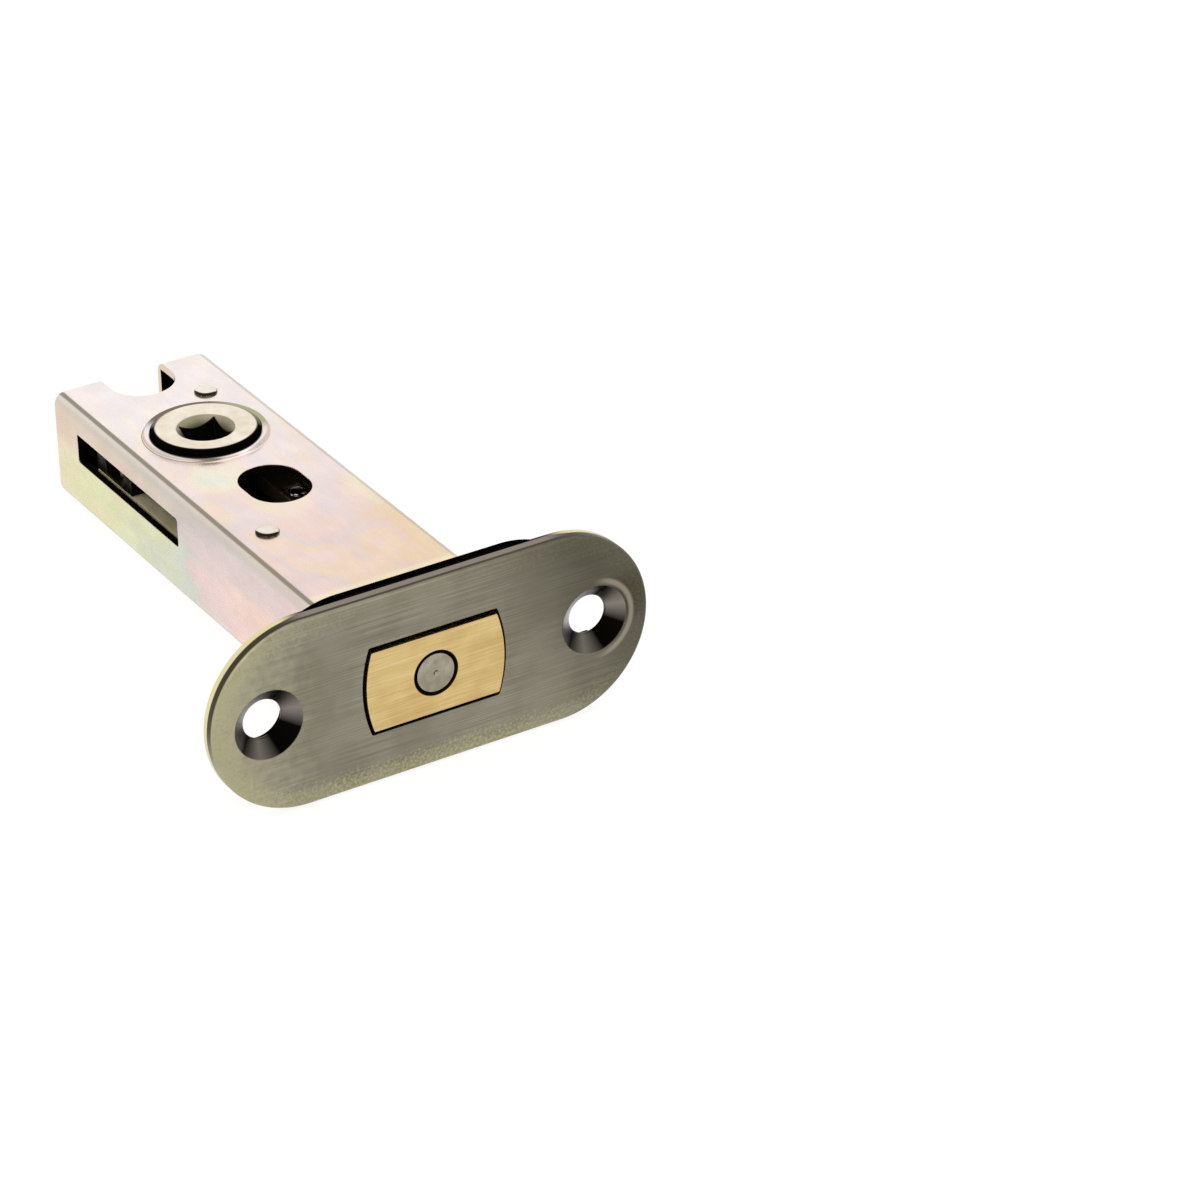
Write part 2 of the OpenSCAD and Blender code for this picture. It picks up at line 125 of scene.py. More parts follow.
def drop_selection() -> None:
    """Return to object mode with nothing selected."""
    if bpy.context.object and bpy.context.object.mode != "OBJECT":
        bpy.ops.object.mode_set(mode="OBJECT")
    bpy.ops.object.select_all(action="DESELECT")


def take(shape: Object) -> None:
    """Make one object the active one and the only one selected.

    Args:
        shape: The object to work on.
    """
    drop_selection()
    bpy.context.view_layer.objects.active = shape
    shape.select_set(True)


def put(shape: Object, turn: Point = (0, 0, 0), at: Point = (0, 0, 0)) -> Object:
    """Turn and move a shape, then write that place into its mesh.

    Args:
        shape: The object to place.
        turn: Angles about X, Y and Z in radians.
        at: Where its origin goes, in millimetres.

    Returns:
        The same object, unturned at the origin.
    """
    take(shape)
    shape.rotation_euler = turn
    shape.location = at
    bpy.ops.object.transform_apply()
    return shape


@contextmanager
def editing(shape: Object) -> Iterator[None]:
    """Hold a shape in edit mode with all of its mesh selected.

    Args:
        shape: The object to work on.
    """
    take(shape)
    bpy.ops.object.mode_set(mode="EDIT")
    bpy.ops.mesh.select_all(action="SELECT")
    yield
    bpy.ops.object.mode_set(mode="OBJECT")


def pick(shape: Object, kind: Part, test: Callable[[object], bool]) -> None:
    """Enter edit mode with only the parts selected that pass a test.

    Args:
        shape: The object to work on.
        kind: Whether vertices, edges or faces are picked.
        test: Says for one part whether it is picked.
    """
    take(shape)
    bpy.ops.object.mode_set(mode="EDIT")
    bpy.ops.mesh.select_mode(type=kind.value)
    bpy.ops.mesh.select_all(action="DESELECT")
    work = bmesh.from_edit_mesh(shape.data)
    parts = {Part.VERTEX: work.verts, Part.EDGE: work.edges, Part.FACE: work.faces}[kind]
    for part in parts:
        if test(part):
            part.select_set(True)
    work.select_flush_mode()
    bmesh.update_edit_mesh(shape.data)


def round_edges(shape: Object, radius: float, segments: int, test: Callable[[object], bool]) -> None:
    """Round the edges of a shape that pass a test.

    Args:
        shape: The object to work on.
        radius: Radius of the rounding.
        segments: How many strips it has.
        test: Says for one edge whether it is rounded.
    """
    pick(shape, Part.EDGE, test)
    bpy.ops.mesh.bevel(offset=radius, segments=segments, profile=0.5)
    drop_selection()


def modify(shape: Object, kind: str, **settings: object) -> Object:
    """Write one modifier into a shape's mesh.

    Args:
        shape: The object to work on.
        kind: Blender's name for the modifier.
        **settings: Properties and their values.

    Returns:
        The same object.
    """
    take(shape)
    step = shape.modifiers.new("step", kind)
    for name, value in settings.items():
        setattr(step, name, value)
    bpy.ops.object.modifier_apply(modifier=step.name)
    return shape


def block(low: Point, high: Point) -> Object:
    """Add a box between two corners.

    Args:
        low: Its lowest corner.
        high: Its highest corner.

    Returns:
        The new object.
    """
    drop_selection()
    middle = [(a + b) / 2 for a, b in zip(low, high)]
    bpy.ops.mesh.primitive_cube_add(size=1, location=middle)
    bpy.context.object.scale = [b - a for a, b in zip(low, high)]
    bpy.ops.object.transform_apply()
    return bpy.context.object


def bar(radius: float, low: float, high: float, along: Along = Along.Z, at: Point = (0, 0, 0),
        sides: int = 96) -> Object:
    """Add a round bar.

    Args:
        radius: Its radius.
        low: Where it starts on its axis.
        high: Where it ends on its axis.
        along: The axis that it runs along.
        at: A point that its axis goes through.
        sides: How many sides the circle has.

    Returns:
        The new object.
    """
    drop_selection()
    bpy.ops.mesh.primitive_cylinder_add(vertices=sides, radius=radius, depth=high - low,
                                        location=(0, 0, (low + high) / 2))
    bpy.ops.object.transform_apply()
    return put(bpy.context.object, along.value, at)


def turned(profile: Profile, along: Along = Along.Z, at: Point = (0, 0, 0), sides: int = 96) -> Object:
    """Turn a solid by extruding and resizing one disc, ring by ring.

    Args:
        profile: Pairs of place on the axis and radius, from one end to the other.
        along: The axis that the solid is turned about.
        at: A point that its axis goes through.
        sides: How many sides each ring has.

    Returns:
        The new object.
    """
    drop_selection()
    bpy.ops.mesh.primitive_circle_add(vertices=sides, radius=profile[0][1], fill_type="NGON",
                                      location=(0, 0, profile[0][0]))
    solid = bpy.context.object
    bpy.ops.object.transform_apply()
    with editing(solid):
        for (low, before), (high, after) in pairwise(profile):
            bpy.ops.mesh.extrude_region_move(TRANSFORM_OT_translate={"value": (0, 0, high - low)})
            if not math.isclose(before, after):
                share = after / before
                bpy.ops.transform.resize(value=(share, share, 1), center_override=(0, 0, high))
        bpy.ops.mesh.select_all(action="SELECT")
        bpy.ops.mesh.normals_make_consistent(inside=False)
    return put(solid, along.value, at)


def mirrored(half: Profile) -> Profile:
    """Give the whole profile of a piece whose lower half mirrors its upper one."""
    return [(-z, r) for z, r in reversed(half)] + list(half)


def oblong(length: float, width: float, low: float, high: float, turn: Point, at: Point = (0, 0, 0),
           sides: int = 192) -> Object:
    """Add a plate with round ends by drawing a cylinder's two halves apart along X.

    Args:
        length: Its length over the round ends.
        width: Its width.
        low: Its lower face.
        high: Its upper face.
        turn: Angles that bring it to its place.
        at: Where its middle goes.
        sides: How many sides the two ends have together.

    Returns:
        The new object.
    """
    drop_selection()
    half_step = math.pi / sides
    bpy.ops.mesh.primitive_cylinder_add(vertices=sides, radius=width / 2, depth=high - low,
                                        location=(0, 0, (low + high) / 2), rotation=(0, 0, half_step))
    bpy.ops.object.transform_apply()
    plate = bpy.context.object
    for side in (-1, 1):
        pick(plate, Part.VERTEX, lambda vertex: vertex.co.x * side > 0)
        bpy.ops.transform.translate(value=(side * (length - width) / 2, 0, 0))
    return put(plate, turn, at)


def bring_in(shape: Object, tools: Sequence[Object], how: Join) -> Object:
    """Cut, fuse or share one shape with others, which are used up.

    Args:
        shape: The object that stays.
        tools: The objects that change it, in order.
        how: The kind of join.

    Returns:
        The changed object.
    """
    for tool in tools:
        modify(shape, "BOOLEAN", operation=how.value, solver="EXACT", object=tool)
        bpy.data.objects.remove(tool)
    return shape


def cut(shape: Object, *tools: Object) -> Object:
    """Cut a shape with each tool in turn and return it."""
    return bring_in(shape, tools, Join.CUT)


def fuse(shape: Object, *others: Object) -> Object:
    """Fuse each of the others into a shape and return it."""
    return bring_in(shape, others, Join.FUSE)


def soften(shape: Object, width: float) -> Object:
    """Round every sharp edge.

    Args:
        shape: The object to work on.
        width: Width of the rounding.

    Returns:
        The same object.
    """
    with editing(shape):
        bpy.ops.mesh.remove_doubles(threshold=MERGED)
        bpy.ops.mesh.dissolve_degenerate(threshold=MERGED)
    return modify(shape, "BEVEL", width=width, segments=2, limit_method="ANGLE", angle_limit=math.radians(SHARP),
                  use_clamp_overlap=False, miter_outer="MITER_ARC")


def worked_copy(source: Object) -> Object:
    """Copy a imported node's mesh in millimetres, with its loose triangles merged into whole faces.

    Args:
        source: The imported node's object, which stays as it is.

    Returns:
        The new object.
    """
    copy = bpy.data.objects.new(source.name + "_work", source.data.copy())
    bpy.context.scene.collection.objects.link(copy)
    take(copy)
    copy.scale = (1 / MM,) * 3
    bpy.ops.object.transform_apply()
    bpy.ops.mesh.customdata_custom_splitnormals_clear()
    with editing(copy):
        bpy.ops.mesh.remove_doubles(threshold=MERGED / 2)
        bpy.ops.mesh.dissolve_limited(angle_limit=math.radians(0.5))
    return copy


def bolt_form(spare_w: float, spare_h: float, low: float, high: float) -> Object:
    """Build the bolt's section as a bar along Y: two flats and two curved sides.

    Args:
        spare_w: How far each curved side lies outside the bolt's.
        spare_h: How far each flat lies outside the bolt's.
        low: Where it starts on Y.
        high: Where it ends on Y.

    Returns:
        The new object.
    """
    half_w, half_h = BOLT_W / 2 + spare_w, BOLT_H / 2 + spare_h
    form = block((-half_w - PAST, low, -half_h), (half_w + PAST, high, half_h))
    sides = [bar(BOLT_SIDE_R, low - PAST, high + PAST, Along.Y, (side * (half_w - BOLT_SIDE_R), 0, 0), 288)
             for side in (-1, 1)]
    return bring_in(form, sides, Join.SHARE)


def linear(tone: Tone) -> tuple[float, float, float, float]:
    """Turn a colour of three numbers to 255 into the linear colour that a socket takes."""
    shares = (part / 255 for part in tone)
    return (*(s / 12.92 if s <= 0.04045 else ((s + 0.055) / 1.055) ** 2.4 for s in shares), 1.0)


class Graph:
    """Adds and joins the nodes of one material, world or node group."""

    def __init__(self, tree: NodeTree) -> None:
        """Keep the tree that the nodes go into."""
        self.tree = tree

    @classmethod
    def fresh(cls, owner: Material | World) -> Self:
        """Start the empty node tree of a material or a world.

        Args:
            owner: The material or world.

        Returns:
            The graph to build it with.
        """
        owner.use_nodes = True
        owner.node_tree.nodes.clear()
        return cls(owner.node_tree)

    def feed(self, socket: NodeSocket, source: Source) -> None:
        """Join a socket to another, or set its value.

        Args:
            socket: The input.
            source: What it takes.
        """
        if isinstance(source, NodeSocket):
            self.tree.links.new(source, socket)
        else:
            socket.default_value = source

    def node(self, kind: str, *sources: Source, named: dict[str, Source] | None = None, **settings: object) -> Node:
        """Add one node, set its properties and feed its inputs.

        Args:
            kind: Blender's name for the node.
            *sources: What its first inputs take.
            named: What other inputs take, by name.
            **settings: Properties and their values.

        Returns:
            The new node.
        """
        made = self.tree.nodes.new(kind)
        for name, value in settings.items():
            setattr(made, name, value)
        for key, source in (*enumerate(sources), *(named or {}).items()):
            self.feed(made.inputs[key], source)
        return made

    def maths(self, operation: str, *sources: Source) -> NodeSocket:
        """Work out a value by one kind of sum."""
        return self.node("ShaderNodeMath", *sources, operation=operation).outputs[0]

    def times(self, first: Source, *others: Source) -> Source:
        """Multiply any number of values."""
        return reduce(lambda product, other: self.maths("MULTIPLY", product, other), others, first)

    def less(self, whole: Source, part: Source) -> NodeSocket:
        """Take one value from another."""
        return self.maths("SUBTRACT", whole, part)

    def scaled(self, value: Source, share: Source, base: Source) -> NodeSocket:
        """Add a share of a value to a base."""
        return self.maths("MULTIPLY_ADD", value, share, base)

    def most(self, first: Source, second: Source) -> NodeSocket:
        """Give the greater of two values."""
        return self.maths("MAXIMUM", first, second)

    def towards(self, way: Span, across: Source, back: Source) -> NodeSocket:
        """Measure how far a level direction or place goes one way."""
        return self.scaled(across, way[0], self.times(back, way[1]))

    def size(self, value: Source) -> NodeSocket:
        """Give a value without its sign."""
        return self.maths("ABSOLUTE", value)

    def length(self, across: Source, along: Source) -> NodeSocket:
        """Give the length of a line from its two parts."""
        return self.maths("SQRT", self.maths("ADD", self.maths("POWER", across, 2), self.maths("POWER", along, 2)))

    def vector(self, operation: str, *sources: Source) -> NodeSocket:
        """Work out a vector, or the one value of two vectors."""
        made = self.node("ShaderNodeVectorMath", *sources, operation=operation)
        return made.outputs["Value" if operation == "DOT_PRODUCT" else "Vector"]

    def split(self, vector: Source) -> tuple[NodeSocket, ...]:
        """Part a vector into its three numbers."""
        return tuple(self.node("ShaderNodeSeparateXYZ", vector).outputs)

    def blend(self, mask: Source, under: Source | Tone, over: Source | Tone, kind: str = "MIX") -> NodeSocket:
        """Lay one colour over another.

        Args:
            mask: How much of the upper colour shows.
            under: The lower colour.
            over: The upper colour.
            kind: How the two are laid together.

        Returns:
            The colour's socket.
        """
        made = self.node("ShaderNodeMix", mask, data_type="RGBA", blend_type=kind)
        for place, source in ((6, under), (7, over)):
            self.feed(made.inputs[place], linear(source) if isinstance(source, tuple) else source)
        return made.outputs[2]

    def step(self, value: Source, low: float, high: float, first: float = 0, last: float = 1) -> NodeSocket:
        """Turn a value into a soft step.

        Args:
            value: The value.
            low: Where the step starts.
            high: Where it ends.
            first: The result before the step.
            last: The result after it.

        Returns:
            The result's socket.
        """
        made = self.node("ShaderNodeMapRange", value, low, high, first, last, interpolation_type="SMOOTHSTEP")
        return made.outputs[0]

    def ramp(self, value: Source, *stops: tuple[float, Tone]) -> NodeSocket:
        """Colour a value by a row of tones.

        Args:
            value: The value.
            *stops: Places and their tones.

        Returns:
            The colour's socket.
        """
        made = self.node("ShaderNodeValToRGB", value)
        points = made.color_ramp.elements
        while len(points) < len(stops):
            points.new(0.5)
        for point, (place, tone) in zip(points, stops):
            point.position = place
            point.color = linear(tone)
        return made.outputs[0]

    def noise(self, place: Source, scale: float, detail: float = 3) -> NodeSocket:
        """Make an even noise with a number of lumps to a millimetre and of finer layers."""
        return self.node("ShaderNodeTexNoise", named={"Vector": place, "Scale": scale, "Detail": detail}).outputs[0]

    def group(self, tree: NodeTree, **sources: Source) -> bpy.types.NodeOutputs:
        """Place a node group and give its outputs."""
        return self.node("ShaderNodeGroup", node_tree=tree, named=sources).outputs


class Surface(Graph):
    """A material's graph, with the place on the piece in millimetres and the colour laid so far."""

    def __init__(self, tree: NodeTree) -> None:
        """Read the place and the direction of the surface.

        Args:
            tree: The material's node tree.
        """
        super().__init__(tree)
        read = self.node("ShaderNodeTexCoord").outputs
        self.place = self.vector("MULTIPLY", read["Object"], (1 / MM,) * 3)
        self.x, self.y, self.z = self.split(self.place)
        self.facing = self.split(read["Normal"])
        self.colour: Source | Tone = (255, 255, 255)

    def lay(self, tone: Source | Tone, *masks: Source, kind: str = "MIX") -> None:
        """Lay a tone over the colour, as far as the product of its masks shows it."""
        self.colour = self.blend(self.times(*masks), self.colour, tone, kind)

    def about_hub(self) -> tuple[NodeSocket, NodeSocket, NodeSocket]:
        """Measure the place round the hub's axis.

        Returns:
            The distance from the axis, and how far the place lies to the front left and to the right of it.
        """
        back = self.less(self.y, HUB_Y)
        away = self.length(self.x, back)
        front = self.towards(FRONT_LEFT, self.x, back)
        return away, self.maths("DIVIDE", front, away), self.maths("DIVIDE", self.x, away)


class Effects:
    """The effects that several finishes share, each built once as a node group."""

    def __init__(self) -> None:
        """Build the three groups."""
        self.grain = self._grain()
        self.wear = self._wear()
        self.blotches = self._blotches()

    @staticmethod
    def _start(name: str, takes: dict[str, str], gives: Sequence[str]) -> tuple[Graph, bpy.types.NodeOutputs, Node]:
        """Start a node group.

        Args:
            name: The group's name.
            takes: Its inputs and their kinds.
            gives: The names of its values.

        Returns:
            The graph to build it with, what it takes in, and the node that gives its values.
        """
        tree = bpy.data.node_groups.new(name, "ShaderNodeTree")
        for label, kind in takes.items():
            tree.interface.new_socket(name=label, in_out="INPUT", socket_type="NodeSocket" + kind)
        for label in gives:
            tree.interface.new_socket(name=label, in_out="OUTPUT", socket_type="NodeSocketFloat")
        graph = Graph(tree)
        return graph, graph.node("NodeGroupInput").outputs, graph.node("NodeGroupOutput")

    def _grain(self) -> NodeTree:
        """Build the brushed grain, drawn out along one direction by its Stretch.

        Returns:
            The group.
        """
        inputs = {"Place": "Vector", "Stretch": "Vector"}
        graph, takes, gives = self._start("brushed_grain", inputs, ("Streaks", "Specks"))
        drawn = graph.vector("MULTIPLY", takes["Place"], takes["Stretch"])
        graph.feed(gives.inputs["Streaks"], graph.noise(drawn, 1, 4))
        graph.feed(gives.inputs["Specks"], graph.noise(drawn, 6.5, 2))
        return graph.tree

    def _wear(self) -> NodeTree:
        """Build the mask of worn edges from the turn of the surface within a width.

        Returns:
            The group.
        """
        graph, takes, gives = self._start("edge_wear", {"Place": "Vector", "Width": "Float"}, ("Edge",))
        rounded = graph.node("ShaderNodeBevel", takes["Width"], samples=6).outputs[0]
        straight = graph.node("ShaderNodeNewGeometry").outputs["Normal"]
        turn = graph.less(1, graph.vector("DOT_PRODUCT", rounded, straight))
        broken = graph.step(graph.noise(takes["Place"], 1.7, 4), 0.35, 0.6)
        graph.feed(gives.inputs["Edge"], graph.times(graph.step(turn, 0.02, 0.2), broken))
        return graph.tree

    def _blotches(self) -> NodeTree:
        """Build soft patches.

        Returns:
            The group.
        """
        graph, takes, gives = self._start("blotches", {"Place": "Vector"}, ("Patches",))
        graph.feed(gives.inputs["Patches"], graph.step(graph.noise(takes["Place"], 0.16, 3), 0.38, 0.64))
        return graph.tree


@dataclass(frozen=True)
class MetalFinish:
    """A metal surface with three tones, a grain, worn edges and its gloss."""

    slot: str
    dark: Tone
    mid: Tone
    light: Tone
    worn: Tone
    grime: Tone
    stretch: Point = (1.0, 1.0, 1.0)
    grime_share: float = 0.25
    gloss: Span = (0.3, 0.42)
    bump: float = 0.012
    edge: float = 0.25
    metallic: float = 1.0
    specular: float = 0.0
    dull: float = 0.05
    speck_share: float = 0.5

    def mark(self, on: Surface) -> None:
        """Add this finish's own marks to a surface; a plain finish has none."""

    def material(self, effects: Effects) -> Material:
        """Build the material.

        Args:
            effects: The shared node groups.

        Returns:
            The new material.
        """
        made = bpy.data.materials.new(self.slot)
        on = Surface.fresh(made)
        grain = on.group(effects.grain, Place=on.place, Stretch=self.stretch)
        patches = on.group(effects.blotches, Place=on.place)["Patches"]
        edge = on.group(effects.wear, Place=on.place, Width=self.edge * MM)["Edge"]
        on.colour = on.ramp(grain["Streaks"], (0.34, self.dark), (0.5, self.mid), (0.66, self.light))
        on.lay(self.grime, patches, self.grime_share, kind="MULTIPLY")
        self.mark(on)
        # Where the colour is nearly black, from painted shade or blackened patina, the surface loses its metal sheen
        # and its worn edges
        depth = on.node("ShaderNodeRGBToBW", on.colour).outputs[0]
        on.lay(self.worn, edge, on.step(depth, 0.004, 0.012))
        gloss = on.maths("ADD", on.step(grain["Specks"], 0.3, 0.7, *self.gloss), on.times(patches, self.dull))
        height = on.maths("ADD", grain["Streaks"], on.times(grain["Specks"], self.speck_share))
        relief = on.node("ShaderNodeBump", named={"Distance": self.bump * MM, "Strength": 1.0, "Height": height})
        shader = on.node("ShaderNodeBsdfPrincipled", named={
            "Base Color": on.colour, "Metallic": on.step(depth, 0.001, 0.02, 0, self.metallic),
            "Specular IOR Level": self.specular, "Roughness": gloss, "Normal": relief.outputs[0]})
        on.node("ShaderNodeOutputMaterial", shader.outputs[0])
        return made


@dataclass(frozen=True)
class AntiquePlate(MetalFinish):
    """The face plate's toned brass: lighter at its left end as a painted reflection, darker at its right end as painted
    shade, and blackened along its straight edges.

    Each pair of numbers says where a soft step starts and ends.
    """

    straight: float = 17.5
    reflection_x: Span = (-15, -30)
    shaded_x: Span = (6, 29)
    dark_patch_at: Span = (27.6, 2.0)
    dark_patch_r: Span = (4.6, 1.4)
    end_x: Span = (16, 20)
    dark_y: Span = (0.28, 0.5)
    grey_y: tuple[Span, Span] = ((0.75, 0.9), (1.9, 1.75))
    back_y: Span = (1.72, 1.9)
    opening: tuple[Span, Span, Span] = ((11, 10.6), (0.12, 0.3), (7, 6.6))
    lip_r: float = 5.2
    lip_x: Span = (22, 25)
    black: Tone = (4, 3, 1)
    reflected_brass: Tone = (186, 180, 148)
    mottle: Tone = (176, 172, 132)
    shade: Tone = (68, 64, 52)
    dark_patch: Tone = (58, 52, 40)
    side_dark: Tone = (64, 56, 42)
    side_grey: Tone = (134, 124, 112)
    side_pale: Tone = (226, 216, 168)
    opening_highlight: Tone = (216, 204, 164)
    lip: Tone = (158, 150, 132)
    # Painted reflections round the countersinks' cones, laid by the angle round each hole
    sink: Stops = ((0.02, (150, 146, 138)), (0.1, (22, 19, 14)), (0.2, (104, 99, 90)), (0.3, (12, 10, 6)),
                   (0.44, (16, 14, 9)), (0.54, (136, 130, 122)), (0.6, (110, 104, 94)), (0.68, (18, 16, 12)),
                   (0.78, (60, 54, 44)), (0.95, (176, 172, 164)))

    def mark(self, on: Surface) -> None:
        """Paint a reflection on the left end and shade on the right one, lay a darker round patch near the right end
        and mottle the rim.

        Args:
            on: The surface.
        """
        x, y, z = on.x, on.y, on.z
        lumps, fine = on.noise(on.place, 0.8, 4), on.noise(on.place, 2.6, 3)
        # Painted reflected light on the left end, then painted shade on the right end
        on.lay(self.reflected_brass, on.step(on.scaled(on.less(lumps, 0.5), 14, x), *self.reflection_x), 0.6)
        on.lay(self.shade, on.step(on.scaled(z, 0.6, x), *self.shaded_x), 0.78)
        # A darker round patch near the right end
        from_dark_patch = on.length(*(on.less(part, middle) for part, middle in zip((x, z), self.dark_patch_at)))
        on.lay(self.dark_patch, on.step(from_dark_patch, *self.dark_patch_r), 0.6)
        inset = on.less(on.length(on.most(on.less(on.size(x), self.straight), 0), z), PLATE_W / 2)
        rim = on.step(on.scaled(on.less(fine, 0.5), 5, inset), -3.2, -0.6)
        lower = on.step(on.scaled(x, 0.55, z), 9, -10, 0.1, 1)
        on.lay(self.mottle, rim, lower, on.step(fine, 0.42, 0.66, 0.35, 1), 0.8)
        self._sides(on, on.step(inset, -0.3, -0.12))
        # The opening's wall: painted shade (black) in the narrow gap round the bolt, and a painted highlight (pale) on
        # the right-hand wall
        wall = on.ramp(on.step(x, 8, 9), (0.2, self.black), (0.8, self.opening_highlight))
        on.lay(wall, *(on.step(part, *span) for part, span in zip((on.size(x), y, on.size(z)), self.opening)))
        self._sinks(on)

    def _sides(self, on: Surface, side: NodeSocket) -> None:
        """Band the plate's sides: dark behind the face, pale behind the ends and black along the straights.

        Args:
            on: The surface.
            side: The mask of the sides.
        """
        ends = on.step(on.size(on.x), *self.end_x)
        on.lay(self.side_dark, side, on.step(on.y, *self.dark_y), on.step(on.z, -5, 2, 0.25, 1))
        on.lay(self.side_grey, side, *(on.step(on.y, *span) for span in self.grey_y), on.less(1, ends))
        back = on.blend(ends, self.black, self.side_pale)
        on.lay(back, side, on.step(on.scaled(ends, 0.5, on.y), *self.back_y))

    def _sinks(self, on: Surface) -> None:
        """Paint the countersinks with soft bands of painted reflection, dark and grey round each cone, and leave a pale
        lip beside the right one.

        Args:
            on: The surface.
        """
        across = on.less(on.x, on.times(on.maths("SIGN", on.x), SCREW_X))
        away = on.length(across, on.z)
        on.lay(self.lip, on.step(on.size(on.less(away, self.lip_r)), 0.55, 0.1), on.step(on.x, *self.lip_x), 0.7)
        turn = on.scaled(on.maths("ARCTAN2", on.z, across), 0.5 / math.pi, 0.5)
        on.lay(on.ramp(turn, *self.sink), on.step(away, SINK_R, SINK_R - 0.12), on.step(on.y, 0.04, 0.16))


@dataclass(frozen=True)
class BlackedSteel(MetalFinish):
    """The back plate's blackened steel: soot-black round its rim and a little lighter on its broad faces."""

    broad: Stops = ((0.3, (38, 35, 30)), (0.7, (46, 43, 37)))

    def mark(self, on: Surface) -> None:
        """Lighten the broad faces."""
        on.lay(on.ramp(on.noise(on.place, 0.5, 3), *self.broad), on.step(on.size(on.facing[1]), 0.5, 0.9))


@dataclass(frozen=True)
class TintedSheet(MetalFinish):
    """The case's passivated zinc: faint pastel clouds, painted shade and a painted dark reflection line along its
    bends, and painted shade round the hub and inside.

    Each pair of numbers says where a soft step starts and ends.
    """

    clouds: Stops = ((0.3, (234, 242, 230)), (0.4, (251, 243, 222)), (0.48, (250, 230, 230)), (0.56, (240, 230, 240)),
                     (0.64, (251, 232, 214)), (0.74, (250, 230, 230)))
    pale: Stops = ((0.0, (246, 238, 229)), (0.45, (251, 247, 240)), (1.0, (255, 253, 251)))
    warm: Tone = (240, 212, 176)
    strip: Tone = (253, 245, 205)
    wall_low: Stops = ((0.06, (255, 224, 204)), (0.2, (250, 220, 207)), (0.36, (236, 212, 210)), (0.5, (214, 222, 212)),
                       (0.64, (218, 224, 200)), (0.8, (228, 230, 184)), (0.97, (237, 226, 192)))
    wall_high: Stops = ((0.1, (236, 212, 210)), (0.4, (226, 212, 212)), (0.6, (208, 200, 196)), (0.95, (228, 210, 190)))
    # A painted dark reflection line along the bends, and painted shade across them
    line: Tone = (140, 132, 116)
    bend: Tone = (204, 198, 188)
    # Painted shade on the case's inner faces and the openings' edges
    inside: Tone = (20, 17, 10)
    # Painted shade round the hub's collar
    collar_front_shade: Tone = (12, 9, 4)
    collar_back_shade: Tone = (116, 98, 86)
    collar_right_shade: Tone = (172, 172, 130)
    pale_y: Span = (8, 76)
    cloudy_y: Span = (20, 70)
    warm_x: Span = (-1, 9)
    warm_y: Span = (34, 14)
    strip_y: Span = (13.0, 12.0)
    wall_low_y: Span = (0, 80)
    wall_high_y: Span = (0, 84)
    wall_z: Span = (-0.5, 3.2)
    collar_r: float = 8.02
    ring_r: float = 7.16
    holes_half: float = 9.2
    slot_half: float = 5.2
    slot_end_y: Span = (72, 71.6)

    def mark(self, on: Surface) -> None:
        """Cloud the sheet with its tints, paint shade and a dark reflection line along its bends, and paint shade round
        the hub's collar and on the inside.

        Args:
            on: The surface.
        """
        lean, level = on.size(on.facing[0]), on.step(on.size(on.facing[2]), 0.05, 0.2)
        # The broad faces and the side walls get different tints, partly the zinc's own colour and partly painted shade
        # on the walls
        on.lay(on.blend(on.step(lean, 0.6, 0.9), self._top(on), self._wall(on)), 1, kind="MULTIPLY")
        # Painted shade across each bend and a painted dark reflection line along it
        on.lay(self.bend, on.step(lean, 0.4, 0.62), on.step(lean, 0.999, 0.94), level, 0.6)
        on.lay(self.line, on.step(lean, 0.16, 0.3), on.step(lean, 0.6, 0.46), level, on.step(on.x, -2, 2, 0.95, 0.45))
        self._collar(on)
        on.lay(self.inside, self._shaded_inside(on))

    def _top(self, on: Surface) -> NodeSocket:
        """Tint the broad faces: nearly white at the rear, pink and peach towards the front.

        Args:
            on: The surface.

        Returns:
            The tint.
        """
        drift = on.vector("MULTIPLY", on.place, (1.0, 0.5, 1.0))
        clouds = on.noise(on.vector("ADD", drift, (2.0, 3.0, 0)), 0.12, 2)
        along = on.scaled(on.less(clouds, 0.5), 30, on.y)
        pale = on.ramp(on.step(along, *self.pale_y), *self.pale)
        cloudy = on.blend(1, on.ramp(clouds, *self.clouds), pale, "MULTIPLY")
        tint = on.blend(on.step(on.y, *self.cloudy_y, 0.9, 0.45), pale, cloudy)
        warm = on.times(on.step(on.x, *self.warm_x), on.step(along, *self.warm_y), 0.75)
        return on.blend(on.step(on.y, *self.strip_y, 0, 0.55), on.blend(warm, tint, self.warm), self.strip)

    def _wall(self, on: Surface) -> NodeSocket:
        """Tint the side walls: yellow-green at the rear, mint and lilac in the middle, pink at the front, and darker
        than the broad faces as painted shade.

        Args:
            on: The surface.

        Returns:
            The tint.
        """
        clouds = on.noise(on.vector("MULTIPLY", on.place, (0.1, 0.35, 1.1)), 0.22, 2)
        along = on.scaled(on.less(clouds, 0.5), 46, on.scaled(on.z, 0.9, on.y))
        low = on.ramp(on.step(along, *self.wall_low_y), *self.wall_low)
        high = on.ramp(on.step(along, *self.wall_high_y), *self.wall_high)
        return on.blend(on.step(on.z, *self.wall_z), low, high)

